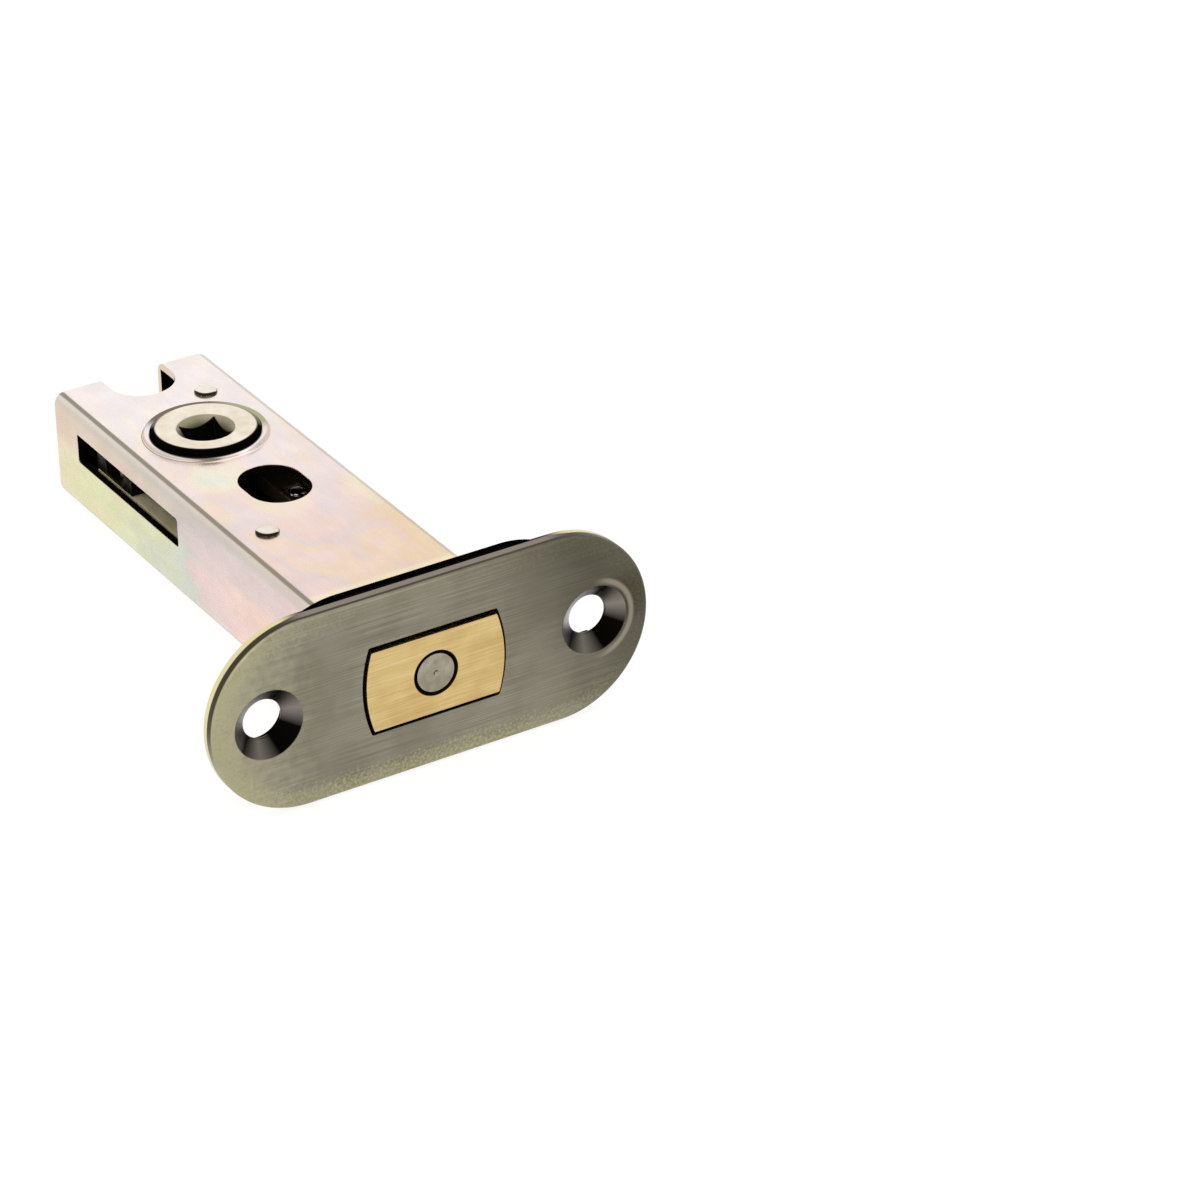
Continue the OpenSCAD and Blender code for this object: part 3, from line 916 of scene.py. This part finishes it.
    def _collar(self, on: Surface) -> None:
        """Paint shade on the collar round the hub: brown behind, olive at the right and black in front.

        Args:
            on: The surface.
        """
        away, front, right = on.about_hub()
        above = on.step(on.size(on.z), CASE_H / 2 + 0.1, CASE_H / 2 + 0.2)
        tone = on.blend(on.step(right, 0.45, 0.9), self.collar_back_shade, self.collar_right_shade)
        on.lay(tone, on.step(away, self.collar_r + 0.05, self.collar_r - 0.1), on.step(front, 0.1, -0.3),
               on.step(right, -0.85, -0.55, 0.15, 1), above)
        reach = on.scaled(on.most(front, 0), 0.76, self.ring_r)
        on.lay(self.collar_front_shade, on.step(on.less(away, reach), 0.12, -0.12), on.step(front, -0.15, 0.15), above)

    def _shaded_inside(self, on: Surface) -> NodeSocket:
        """Mask the case's inner faces and the openings' edges, which get painted shade.

        Args:
            on: The surface.

        Returns:
            The mask.
        """
        x, z = on.size(on.x), on.size(on.z)
        inner_w, inner_h = CASE_W / 2 - SHEET, CASE_H / 2 - SHEET
        inner = on.times(on.step(x, inner_w + 0.1, inner_w), on.step(z, inner_h + 0.1, inner_h),
                         on.step(on.y, CASE_REAR - SHEET + 0.1, CASE_REAR - SHEET))
        holes = on.times(on.step(x, self.holes_half + 0.1, self.holes_half - 0.1),
                         on.step(z, CASE_H / 2 - 0.06, CASE_H / 2 - 0.16))
        slot = on.times(on.step(z, self.slot_half + 0.1, self.slot_half - 0.1),
                        on.step(x, CASE_W / 2 - 0.06, CASE_W / 2 - 0.16))
        return on.most(inner, on.times(on.most(holes, slot), on.step(on.y, *self.slot_end_y)))


@dataclass(frozen=True)
class CastHub(MetalFinish):
    """The follower's cast zinc, with painted shade round its journals, on its barrel and down its socket."""

    journal_front_shade: Tone = (10, 8, 4)
    journal_back_shade: Tone = (110, 94, 78)
    inner_shade: Tone = (96, 82, 52)
    finger: Tone = (250, 246, 226)
    # Painted shade down the socket, from its mouth to its depth
    socket: Stops = ((0.1, (150, 143, 120)), (0.6, (96, 90, 70)), (0.95, (30, 27, 18)))
    face_r: float = 6.5
    face_z: float = 8.2
    journal_z: Span = (3.8, 4.8)
    barrel_r: float = 4.7
    barrel_z: Span = (5.2, 4.9)
    socket_r: float = 4.0
    socket_depth: float = 1.6

    def mark(self, on: Surface) -> None:
        """Paint shade on what turns in the case and down the socket's depth.

        Args:
            on: The surface.
        """
        away, front, _ = on.about_hub()
        height = on.size(on.z)
        shaded = on.scaled(on.most(front, 0), 0.45, away)
        # Painted shade round the journal: black in front, brown behind
        on.lay(on.blend(on.step(front, 0.0, -0.5), self.journal_front_shade, self.journal_back_shade),
               on.step(shaded, self.face_r - 0.16, self.face_r + 0.1), on.step(height, *self.journal_z))
        # Painted shade on the barrel inside the case; the finger is then kept pale
        on.lay(self.inner_shade, on.step(away, self.barrel_r - 0.1, self.barrel_r + 0.1), on.step(height, *self.barrel_z))
        on.lay(self.finger, on.step(away, self.face_r, self.face_r + 1), on.step(height, *self.journal_z[::-1]))
        # Painted shade that deepens down the socket
        on.lay(on.ramp(on.step(height, self.face_z, self.face_z - self.socket_depth), *self.socket),
               on.step(away, self.socket_r, self.socket_r - 0.1), on.step(height, self.face_z, self.face_z - 0.15))


@dataclass(frozen=True)
class RivetedPost(MetalFinish):
    """The posts' zinc, with painted shade round the side of each riveted head."""

    ring: Tone = (36, 32, 20)
    top: float = 7.52
    shaded_way: Span = (-0.62, -0.78)

    def mark(self, on: Surface) -> None:
        """Paint shade on the side of each head and on its faces turned to the front left.

        Args:
            on: The surface.
        """
        across, back, _ = on.facing
        slope = on.step(on.towards(self.shaded_way, across, back), 0.04, 0.12)
        # Painted shade on the side of each head and on its faces turned to the front left
        on.lay(self.ring, on.most(on.step(on.size(on.z), self.top + 0.06, self.top), slope))


@dataclass(frozen=True)
class TailZinc(MetalFinish):
    """The tail's zinc, bright along the finger's side, with painted shade laid over the other side."""

    inner_shade: Tone = (112, 94, 58)
    fade: Span = (-6.5, -4.5)

    def mark(self, on: Surface) -> None:
        """Lay painted shade on the tail towards the side away from the finger."""
        on.lay(self.inner_shade, on.step(on.x, *self.fade))


@dataclass(frozen=True)
class BoltBrass(MetalFinish):
    """The bolt's satin brass, blackened in the rim round its pin."""

    rim: Tone = (26, 19, 8)
    rim_r: float = 3.08

    def mark(self, on: Surface) -> None:
        """Blacken the chamfer round the pin."""
        on.lay(self.rim, on.step(on.length(on.x, on.z), self.rim_r, self.rim_r - 0.08))


@dataclass
class Workshop:
    """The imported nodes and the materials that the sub-assemblies are dressed with."""

    nodes: dict[str, Object]
    materials: dict[str, Material] = field(default_factory=dict)

    def mix(self, finishes: Sequence[MetalFinish]) -> None:
        """Build one material for each finish."""
        effects = Effects()
        self.materials = {finish.slot: finish.material(effects) for finish in finishes}

    def settle(self, shape: Object, name: str, node: str, body: str, slot: str) -> None:
        """Finish a piece: metres, smooth shading, its material and its place in the frame.

        Args:
            shape: The object, in millimetres.
            name: The piece's name.
            node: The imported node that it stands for.
            body: The body that it moves with.
            slot: The record's slot that its finish belongs to.
        """
        take(shape)
        shape.name = name
        shape.data.name = name
        shape.scale = (MM,) * 3
        bpy.ops.object.transform_apply()
        bpy.ops.object.shade_smooth_by_angle(angle=math.radians(SMOOTHED))
        modify(shape, "WEIGHTED_NORMAL", keep_sharp=True, weight=100)
        self._paint(shape, slot)
        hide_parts(node)
        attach(shape, body)
        LOG.info("piece %s stands for %s on %s, %d faces", name, node, body, len(shape.data.polygons))

    def dress(self, node: str, slot: str) -> None:
        """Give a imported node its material."""
        self._paint(self.nodes[node], slot)
        LOG.info("node %s is dressed with %s", node, slot)

    def _paint(self, shape: Object, slot: str) -> None:
        """Give a shape one material."""
        shape.data.materials.clear()
        shape.data.materials.append(self.materials[slot])


@dataclass
class Forend:
    """The face plate and the plate behind it."""

    length: float = 60.0
    face_t: float = 2.2
    back_t: float = 1.2
    back_l: float = 47.5
    edge_r: float = 0.5
    sink_depth: float = 1.8
    notch_r: float = 3.2
    side_gap: float = 0.33
    top_gap: float = 0.55
    back_gap: float = 0.2
    tab_z: float = 6.8
    tab_w: float = 5.2
    tab_t: float = 1.2
    face_soft: float = 0.13
    back_soft: float = 0.08
    upright: Point = (math.pi / 2, 0, 0)

    def face_plate(self) -> Object:
        """Build the round-ended plate with its countersinks and its opening.

        Returns:
            The new object.
        """
        plate = oblong(self.length, PLATE_W, -self.face_t, 0, self.upright)
        round_edges(plate, self.edge_r, 5, lambda edge: all(abs(v.co.y) < 0.01 for v in edge.verts))
        flare = SINK_R + PAST * (SINK_R - HOLE_R) / self.sink_depth
        sink = ((-PAST, flare), (self.sink_depth, HOLE_R), (self.face_t + PAST, HOLE_R))
        cut(plate, bolt_form(self.side_gap, self.top_gap, -PAST, self.face_t + PAST),
            *(turned(sink, Along.Y, (side * SCREW_X, 0, 0)) for side in (-1, 1)))
        return soften(plate, self.face_soft)

    def back_plate(self) -> Object:
        """Build the plate that carries the case, open round both screws.

        Returns:
            The new object.
        """
        low, high = self.face_t, self.face_t + self.back_t
        plate = oblong(self.back_l, PLATE_W, -high, -low, self.upright)
        cut(plate, bolt_form(self.back_gap, self.back_gap, low - PAST, high + PAST))
        for side in (-1, 1):
            ends = sorted((side * SCREW_X, side * self.length))
            cut(plate, bar(self.notch_r, low - PAST, high + PAST, Along.Y, (side * SCREW_X, 0, 0)),
                block((ends[0], low - PAST, -self.notch_r), (ends[1], high + PAST, self.notch_r)))
            for up in (-1, 1):
                middle = (side * TAB_X, (low + high) / 2, up * self.tab_z)
                half = (self.tab_w / 2, high, self.tab_t / 2)
                cut(plate, block(*([m + s * h for m, h in zip(middle, half)] for s in (-1, 1))))
        return soften(plate, self.back_soft)

    def build(self, shop: Workshop) -> None:
        """Build and settle both plates."""
        shop.settle(self.face_plate(), "face_plate", "outer_forend", "lock_case", "forend_bronze")
        shop.settle(self.back_plate(), "back_plate", "inner_forend", "lock_case", "inner_plate_black")


@dataclass
class CaseShell:
    """The folded case, its two posts and the guide in its mouth."""

    front: float = 3.4
    bend_r: float = 1.8
    tab_w: float = 5.0
    tab_l: float = 1.2
    hub_hole_r: float = 7.12
    collar_r: float = 7.97
    collar_h: float = 0.55
    fixing_at: Point = (0.8, 40.3, 0.0)
    fixing_w: float = 8.1
    fixing_l: float = 10.5
    notch_y: float = 74.9
    notch_w: float = 8.8
    flange_half: float = 6.2
    slot_y: Span = (44.05, 71.55)
    slot_z: Span = (0.125, 4.075)
    slot_r: float = 0.4
    seam: Span = (-3.7, -3.5)
    posts: tuple[Point, ...] = ((-6.1, 29.6, 0.0), (5.4, 67.2, 0.0))
    post_hole_r: float = 1.22
    post_r: float = 1.6
    neck_r: float = 1.2
    head_r: float = 1.5
    soft: float = 0.11
    guide_soft: float = 0.15

    def folded_sheet(self) -> Object:
        """Fold the tube: bend its edges, open its front and give the sheet its thickness.

        Returns:
            The new object.
        """
        half_w, half_h = CASE_W / 2, CASE_H / 2
        shell = block((-half_w, self.front, -half_h), (half_w, CASE_REAR, half_h))
        round_edges(shell, self.bend_r, 10, lambda edge: max(v.co.y for v in edge.verts) > CASE_REAR - PAST)
        pick(shell, Part.FACE, lambda face: face.normal.y < -0.9)
        bpy.ops.mesh.delete(type="FACE")
        return modify(shell, "SOLIDIFY", thickness=SHEET, offset=-1, use_even_offset=True)

    def collar(self, under: bool) -> Object:
        """Turn the drawn collar with the small radius at its foot.

        Args:
            under: Whether it belongs to the lower wall.

        Returns:
            The collar, still without its hole.
        """
        face, r = CASE_H / 2, self.collar_r
        top = face + self.collar_h
        profile = ((face - SHEET / 2, r + 0.3), (face, r + 0.3), (face + 0.05, r + 0.14), (face + 0.14, r + 0.04),
                   (face + 0.26, r), (top - 0.16, r), (top - 0.05, r - 0.05), (top, r - 0.16))
        return put(turned(profile, sides=128), (0, math.pi if under else 0, 0), (0, HUB_Y, 0))

    def shell(self) -> Object:
        """Build the whole case.

        Returns:
            The new object.
        """
        shell = self.folded_sheet()
        half_w, half_h, past, rear = CASE_W / 2, CASE_H / 2, CASE_H, CASE_REAR + PAST
        for side in (-1, 1):
            for up in (-1, 1):
                tops = sorted((up * half_h, up * (half_h - SHEET)))
                fuse(shell, block((side * TAB_X - self.tab_w / 2, self.front - self.tab_l, tops[0]),
                                  (side * TAB_X + self.tab_w / 2, self.front + SHEET, tops[1])))
        fuse(shell, self.collar(False), self.collar(True))
        (start, low), (end, high) = zip(self.slot_y, self.slot_z)
        window = block((-half_w - PAST, start, low), (-half_w + SHEET + PAST, end, high))
        round_edges(window, self.slot_r, 4, lambda edge: abs((edge.verts[0].co - edge.verts[1].co).x) > PAST)
        cut(shell, bar(self.hub_hole_r, -past, past, at=(0, HUB_Y, 0), sides=128),
            oblong(self.fixing_l, self.fixing_w, -past, past, (0, 0, math.pi / 2), self.fixing_at, 96),
            bar(self.notch_w / 2, -past, past, at=(0, self.notch_y, 0)),
            block((-self.notch_w / 2, self.notch_y, -past), (self.notch_w / 2, rear, past)),
            window,
            block((half_w - SHEET - PAST, 0, self.seam[0]), (half_w + PAST, rear, self.seam[1])),
            block((0, CASE_REAR - self.bend_r - 0.1, -self.flange_half), (half_w + PAST, rear, self.seam[0] + 0.1)),
            *(bar(self.post_hole_r, -past, past, at=at, sides=48) for at in self.posts))
        return soften(shell, self.soft)

    def post(self, at: Point) -> Object:
        """Turn a shouldered post with both ends riveted over.

        Args:
            at: Where it stands.

        Returns:
            The new object.
        """
        inner, outer = CASE_H / 2 - SHEET, CASE_H / 2
        half = ((inner, self.post_r), (inner, self.neck_r), (outer, self.neck_r), (outer, self.head_r),
                (outer + 0.16, self.head_r), (outer + 0.27, self.head_r - 0.12), (outer + 0.33, self.head_r - 0.35),
                (outer + 0.35, self.head_r - 0.7))
        return turned(mirrored(half), at=at, sides=64)

    def build(self, shop: Workshop) -> None:
        """Build and settle the case, its posts and its guide.

        Args:
            shop: The workshop.
        """
        shop.settle(self.shell(), "case_shell", "case", "lock_case", "case_zinc")
        for end, at in zip(("front", "rear"), self.posts):
            shop.settle(self.post(at), f"{end}_riveted_post", f"{end}_post", "lock_case", "post_zinc")
        guide = soften(worked_copy(shop.nodes["bolt_guide"]), self.guide_soft)
        shop.settle(guide, "guide_sleeve", "bolt_guide", "lock_case", "guide_nylon")


@dataclass
class Hub:
    """The follower: a spool with a square socket and a finger."""

    face: float = 8.25
    face_r: float = 6.45
    journal_r: float = 7.05
    chamfer_h: float = 0.3
    flange_r: float = 8.2
    flange: Span = (5.0, 6.2)
    barrel_r: float = 6.0
    socket: float = 5.1
    lead_r: float = 3.9
    lead_depth: float = 1.2
    finger: Span = (0.6, 3.6)
    finger_reach: float = 9.9
    finger_w: float = 2.9
    knob_r: float = 1.9
    finger_turn: float = math.radians(135)
    soft: float = 0.09

    def spool(self) -> Object:
        """Turn the body, add the finger and sink the square socket with its lead-ins.

        Returns:
            The new object.
        """
        low, high = self.flange
        half = ((low, self.barrel_r), (low, self.flange_r), (high, self.flange_r), (high, self.journal_r),
                (self.face - self.chamfer_h, self.journal_r), (self.face - 0.04, self.face_r + 0.1),
                (self.face, self.face_r))
        made = fuse(turned(mirrored(half), sides=128), self._finger())
        side = self.socket / 2
        cut(made, block((-side, -side, -self.face - PAST), (side, side, self.face + PAST)))
        flare = self.lead_r + PAST * (self.lead_r - side) / self.lead_depth
        for under in (0, math.pi):
            lead = turned(((self.face - self.lead_depth, side), (self.face + PAST, flare)))
            cut(made, put(lead, (under, 0, 0)))
        return put(soften(made, self.soft), at=(0, HUB_Y, 0))

    def _finger(self) -> Object:
        """Build the finger with its round end, turned to where it rests.

        Returns:
            The new object.
        """
        low, high = self.finger
        made = block((self.barrel_r - PAST, -self.finger_w / 2, low), (self.finger_reach, self.finger_w / 2, high))
        fuse(made, bar(self.knob_r, low, high, at=(self.finger_reach, 0, 0), sides=64))
        return put(made, (0, 0, self.finger_turn))

    def build(self, shop: Workshop) -> None:
        """Build and settle the follower."""
        shop.settle(self.spool(), "spindle_hub", "follower", "follower", "follower_zinc")


@dataclass
class DeadBolt:
    """The sliding bolt: its head and pin, tail, drive block, spring and rivets."""

    nose: float = -0.3
    rear: float = 25.7
    pin_r: float = 2.6
    pin_end: float = 15.7
    pin_gap: float = 0.02
    pin_rim: float = 0.45
    tongue_half: float = 7.05
    tongue_y: float = 17.65
    tongue_gap: float = 0.05
    tail_t: float = 2.0
    rivet_x: float = 4.6
    rivet_y: float = 21.7
    rivet_r: float = 1.27
    spring_rivet: Point = (7.995, 48.3, 0.0)
    head_soft: float = 0.14
    tail_soft: float = 0.12
    block_soft: float = 0.15

    def head(self) -> Object:
        """Build the head with its bore, its slot for the tail and its rivet holes.

        Returns:
            The new object.
        """
        bore_r = self.pin_r + self.pin_gap
        bore = ((self.nose - PAST, self.pin_r + self.pin_rim + PAST), (self.nose + self.pin_rim, bore_r),
                (self.pin_end + self.pin_gap, bore_r))
        made = bolt_form(0, 0, self.nose, self.rear)
        cut(made, turned(bore, Along.Y),
            block((-self.tongue_half, self.tongue_y, -self.tail_t - self.tongue_gap),
                  (self.tongue_half, self.rear + PAST, self.tongue_gap)),
            *(bar(self.rivet_r, -BOLT_H, BOLT_H, at=(side * self.rivet_x, self.rivet_y, 0), sides=48)
              for side in (-1, 1)))
        return soften(made, self.head_soft)

    def pin(self) -> Object:
        """Turn the hardened pin and drill its centre mark.

        Returns:
            The new object.
        """
        made = turned(((self.nose, self.pin_r - 0.2), (self.nose + 0.08, self.pin_r - 0.07),
                       (self.nose + 0.2, self.pin_r), (self.pin_end, self.pin_r)), Along.Y)
        return cut(made, turned(((self.nose - PAST, 1.4), (self.nose + 0.4, 0.02)), Along.Y, sides=32))

    def rivet_head(self) -> Object:
        """Turn the spring's rivet with its domed head."""
        profile = ((-2.0, 0.7), (0.35, 0.7), (0.35, 1.15), (0.5, 1.12), (0.65, 0.98), (0.76, 0.66), (0.8, 0.25))
        return turned(profile, at=self.spring_rivet, sides=48)

    def build(self, shop: Workshop) -> None:
        """Build and settle what shows, and dress the nodes that are right as they are.

        Args:
            shop: The workshop.
        """
        shop.settle(self.head(), "bolt_bar", "bolt_head", "bolt", "bolt_brass")
        shop.settle(self.pin(), "pin_insert", "hardened_pin", "bolt", "pin_steel")
        for name, node, slot, soft in (("tail_plate", "bolt_tail", "tail_zinc", self.tail_soft),
                                       ("notched_block", "drive_block", "block_steel", self.block_soft)):
            shop.settle(soften(worked_copy(shop.nodes[node]), soft), name, node, "bolt", slot)
        shop.settle(self.rivet_head(), "domed_spring_rivet", "spring_rivet", "bolt", "rivet_steel")
        shop.dress("friction_spring", "spring_steel")
        for node in ("tail_rivet_left", "tail_rivet_right", "block_rivet_front", "block_rivet_rear"):
            shop.dress(node, "rivet_steel")


@dataclass
class Studio:
    """The camera, the pale floor, the lamps and the world."""

    camera_at: Point = (-245.064, -436.579, 292.299)
    ahead: Point = (0.45459, 0.74350, -0.49047)
    down: Point = (-0.27192, -0.40852, -0.87130)
    lens: float = 148.54
    sensor: float = 36.0
    nearest: float = 0.01
    floor_front: Span = (3.4, -12.5)
    floor_slope: float = 0.06878
    floor_size: float = 6.0
    floor_grey: float = 0.8
    floor_glow: float = 0.84
    floor_white: float = 0.32
    sky: Point = (0.98, 0.99, 1.0)
    sky_power: float = 0.55
    lamps: tuple[tuple[str, Point, float, float], ...] = (
        ("key_lamp", (-0.45, -0.25, 0.75), 1.0, 1.1), ("fill_lamp", (0.6, -0.5, 0.5), 0.8, 0.5))
    lit_middle: Point = (0.0, 0.04, 0.0)

    @staticmethod
    def hang(name: str, data: bpy.types.ID, place: Matrix) -> Object:
        """Hang a camera or a lamp in the scene.

        Args:
            name: The object's name.
            data: The camera or the lamp.
            place: Its place and turn.

        Returns:
            The new object.
        """
        made = bpy.data.objects.new(name, data)
        bpy.context.scene.collection.objects.link(made)
        made.matrix_world = place
        return made

    def camera(self) -> None:
        """Set the camera where the photograph was taken from."""
        data = bpy.data.cameras.new("camera")
        data.lens = self.lens
        data.sensor_width = self.sensor
        data.clip_start = self.nearest
        ahead, down = Vector(self.ahead).normalized(), Vector(self.down).normalized()
        turn = Matrix((down.cross(ahead), -down, -ahead)).transposed()
        place = Matrix.Translation(Vector(self.camera_at) * MM) @ turn.to_4x4()
        bpy.context.scene.camera = self.hang("camera", data, place)

    def floor(self) -> None:
        """Lay the floor under the forend's edge and the case's rear end."""
        drop_selection()
        y, z = (part * MM for part in self.floor_front)
        bpy.ops.mesh.primitive_plane_add(size=self.floor_size, location=(0, y, z),
                                         rotation=(math.atan(self.floor_slope), 0, 0))
        floor = bpy.context.object
        floor.name = "floor"
        material = bpy.data.materials.new("pale_floor")
        graph = Graph.fresh(material)
        plain = graph.node("ShaderNodeBsdfDiffuse", (self.floor_grey,) * 3 + (1,))
        shown = graph.node("ShaderNodeBsdfDiffuse", (self.floor_white,) * 3 + (1,))
        glow = graph.node("ShaderNodeEmission", named={"Strength": self.floor_glow})
        both = graph.node("ShaderNodeAddShader", glow.outputs[0], shown.outputs[0])
        show_behind(graph, plain, both, "ShaderNodeOutputMaterial")
        floor.data.materials.append(material)

    def world(self) -> None:
        """Light softly all round, and show white behind the object and in its reflections."""
        world = bpy.data.worlds.new("studio")
        bpy.context.scene.world = world
        graph = Graph.fresh(world)
        soft = graph.node("ShaderNodeBackground", (*self.sky, 1), self.sky_power)
        white = graph.node("ShaderNodeBackground", (1, 1, 1, 1), 1.0)
        show_behind(graph, soft, white, "ShaderNodeOutputWorld")

    def lamp(self, name: str, at: Point, size: float, power: float) -> None:
        """Hang a square lamp that points at the middle of the object.

        Args:
            name: The lamp's name.
            at: Where it hangs, in metres.
            size: The side of its square, in metres.
            power: Its power in watts.
        """
        data = bpy.data.lights.new(name, "AREA")
        data.size = size
        data.energy = power
        towards = Vector(self.lit_middle) - Vector(at)
        self.hang(name, data, Matrix.Translation(at) @ towards.to_track_quat("-Z", "Y").to_matrix().to_4x4())

    def build(self) -> None:
        """Set up the whole studio."""
        self.camera()
        self.floor()
        self.world()
        for lamp in self.lamps:
            self.lamp(*lamp)
        bpy.context.scene.view_settings.view_transform = "Standard"


def show_behind(graph: Graph, lit: Node, shown: Node, end: str) -> None:
    """Show one shader to the rays that see the background and another to all the others.

    Args:
        graph: The graph of the floor's material or of the world.
        lit: The shader that lights the object.
        shown: The shader that the camera's rays and the reflected and passing ones see.
        end: Blender's name for the output node.
    """
    path = graph.node("ShaderNodeLightPath").outputs
    seen = graph.most(graph.most(path["Is Camera Ray"], path["Is Glossy Ray"]), path["Is Transmission Ray"])
    graph.node(end, graph.node("ShaderNodeMixShader", seen, lit.outputs[0], shown.outputs[0]).outputs[0])


# The tones of each finish are its dark, middle and light ones, its worn edges and its grime
FINISHES: tuple[MetalFinish, ...] = (
    AntiquePlate("forend_bronze", (126, 121, 104), (139, 134, 117), (152, 147, 130), (172, 165, 138), (188, 184, 170),
                 stretch=(0.07, 4.0, 8.0), gloss=(0.26, 0.38), bump=0.007, edge=0.12),
    BlackedSteel("inner_plate_black", (2, 2, 1), (4, 3, 2), (8, 7, 4), (70, 66, 56), (150, 140, 120),
                 stretch=(0.5, 2.0, 2.0), gloss=(0.5, 0.65)),
    TintedSheet("case_zinc", (250, 248, 246), (252, 250, 248), (254, 253, 252), (234, 224, 210), (246, 240, 235),
                stretch=(0.7, 0.2, 0.7), grime_share=0.4, gloss=(0.22, 0.3), bump=0.003, edge=0.12),
    MetalFinish("guide_nylon", (204, 202, 190), (214, 212, 202), (224, 222, 214), (228, 226, 220), (220, 214, 196),
                stretch=(1.5, 1.5, 1.5), gloss=(0.45, 0.6), metallic=0.0, specular=0.5),
    RivetedPost("post_zinc", (232, 226, 210), (240, 235, 221), (247, 243, 232), (226, 218, 200), (226, 214, 194),
                stretch=(0.8, 0.8, 0.8), gloss=(0.24, 0.34), bump=0.006, edge=0.1),
    CastHub("follower_zinc", (238, 226, 208), (244, 233, 216), (250, 242, 228), (228, 218, 192), (222, 212, 184),
            stretch=(0.7, 0.7, 0.7), gloss=(0.26, 0.36), bump=0.008, edge=0.08),
    BoltBrass("bolt_brass", (204, 177, 118), (214, 187, 127), (223, 198, 142), (236, 218, 172), (206, 176, 122),
              stretch=(0.12, 2.0, 5.0), gloss=(0.24, 0.34), bump=0.008, edge=0.2),
    MetalFinish("pin_steel", (150, 143, 125), (162, 155, 137), (172, 166, 149), (186, 180, 164), (158, 148, 126),
                stretch=(0.9, 0.9, 0.9), gloss=(0.24, 0.32), bump=0.005, edge=0.12),
    TailZinc("tail_zinc", (236, 218, 170), (248, 234, 190), (254, 244, 208), (253, 245, 218), (230, 218, 178),
             stretch=(1.0, 0.3, 1.0), gloss=(0.3, 0.42), metallic=0.0),
    MetalFinish("rivet_steel", (226, 214, 204), (236, 226, 216), (246, 238, 230), (248, 242, 236), (214, 202, 186),
                stretch=(3.0, 3.0, 3.0), gloss=(0.14, 0.22), edge=0.12),
    # The drive block is toned nearly black as painted shade, for where it sits inside the case
    MetalFinish("block_steel", (26, 23, 16), (36, 32, 22), (50, 45, 32), (96, 88, 68), (120, 110, 86),
                stretch=(2.0, 2.0, 2.0), gloss=(0.36, 0.5)),
    MetalFinish("spring_steel", (196, 188, 178), (212, 204, 194), (228, 222, 212), (240, 235, 228), (190, 180, 168),
                stretch=(3.0, 0.5, 3.0), gloss=(0.2, 0.32), edge=0.1),
)


def main() -> None:
    """Build the sub-assemblies and the studio."""
    logging.basicConfig(level=logging.INFO, format="%(name)s: %(message)s")
    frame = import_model()
    drop_selection()
    shop = Workshop(frame["nodes"])
    shop.mix(FINISHES)
    for assembly in (Forend(), CaseShell(), Hub(), DeadBolt()):
        assembly.build(shop)
        LOG.info("%s is built", type(assembly).__name__)
    Studio().build()


if __name__ == "__main__":
    main()
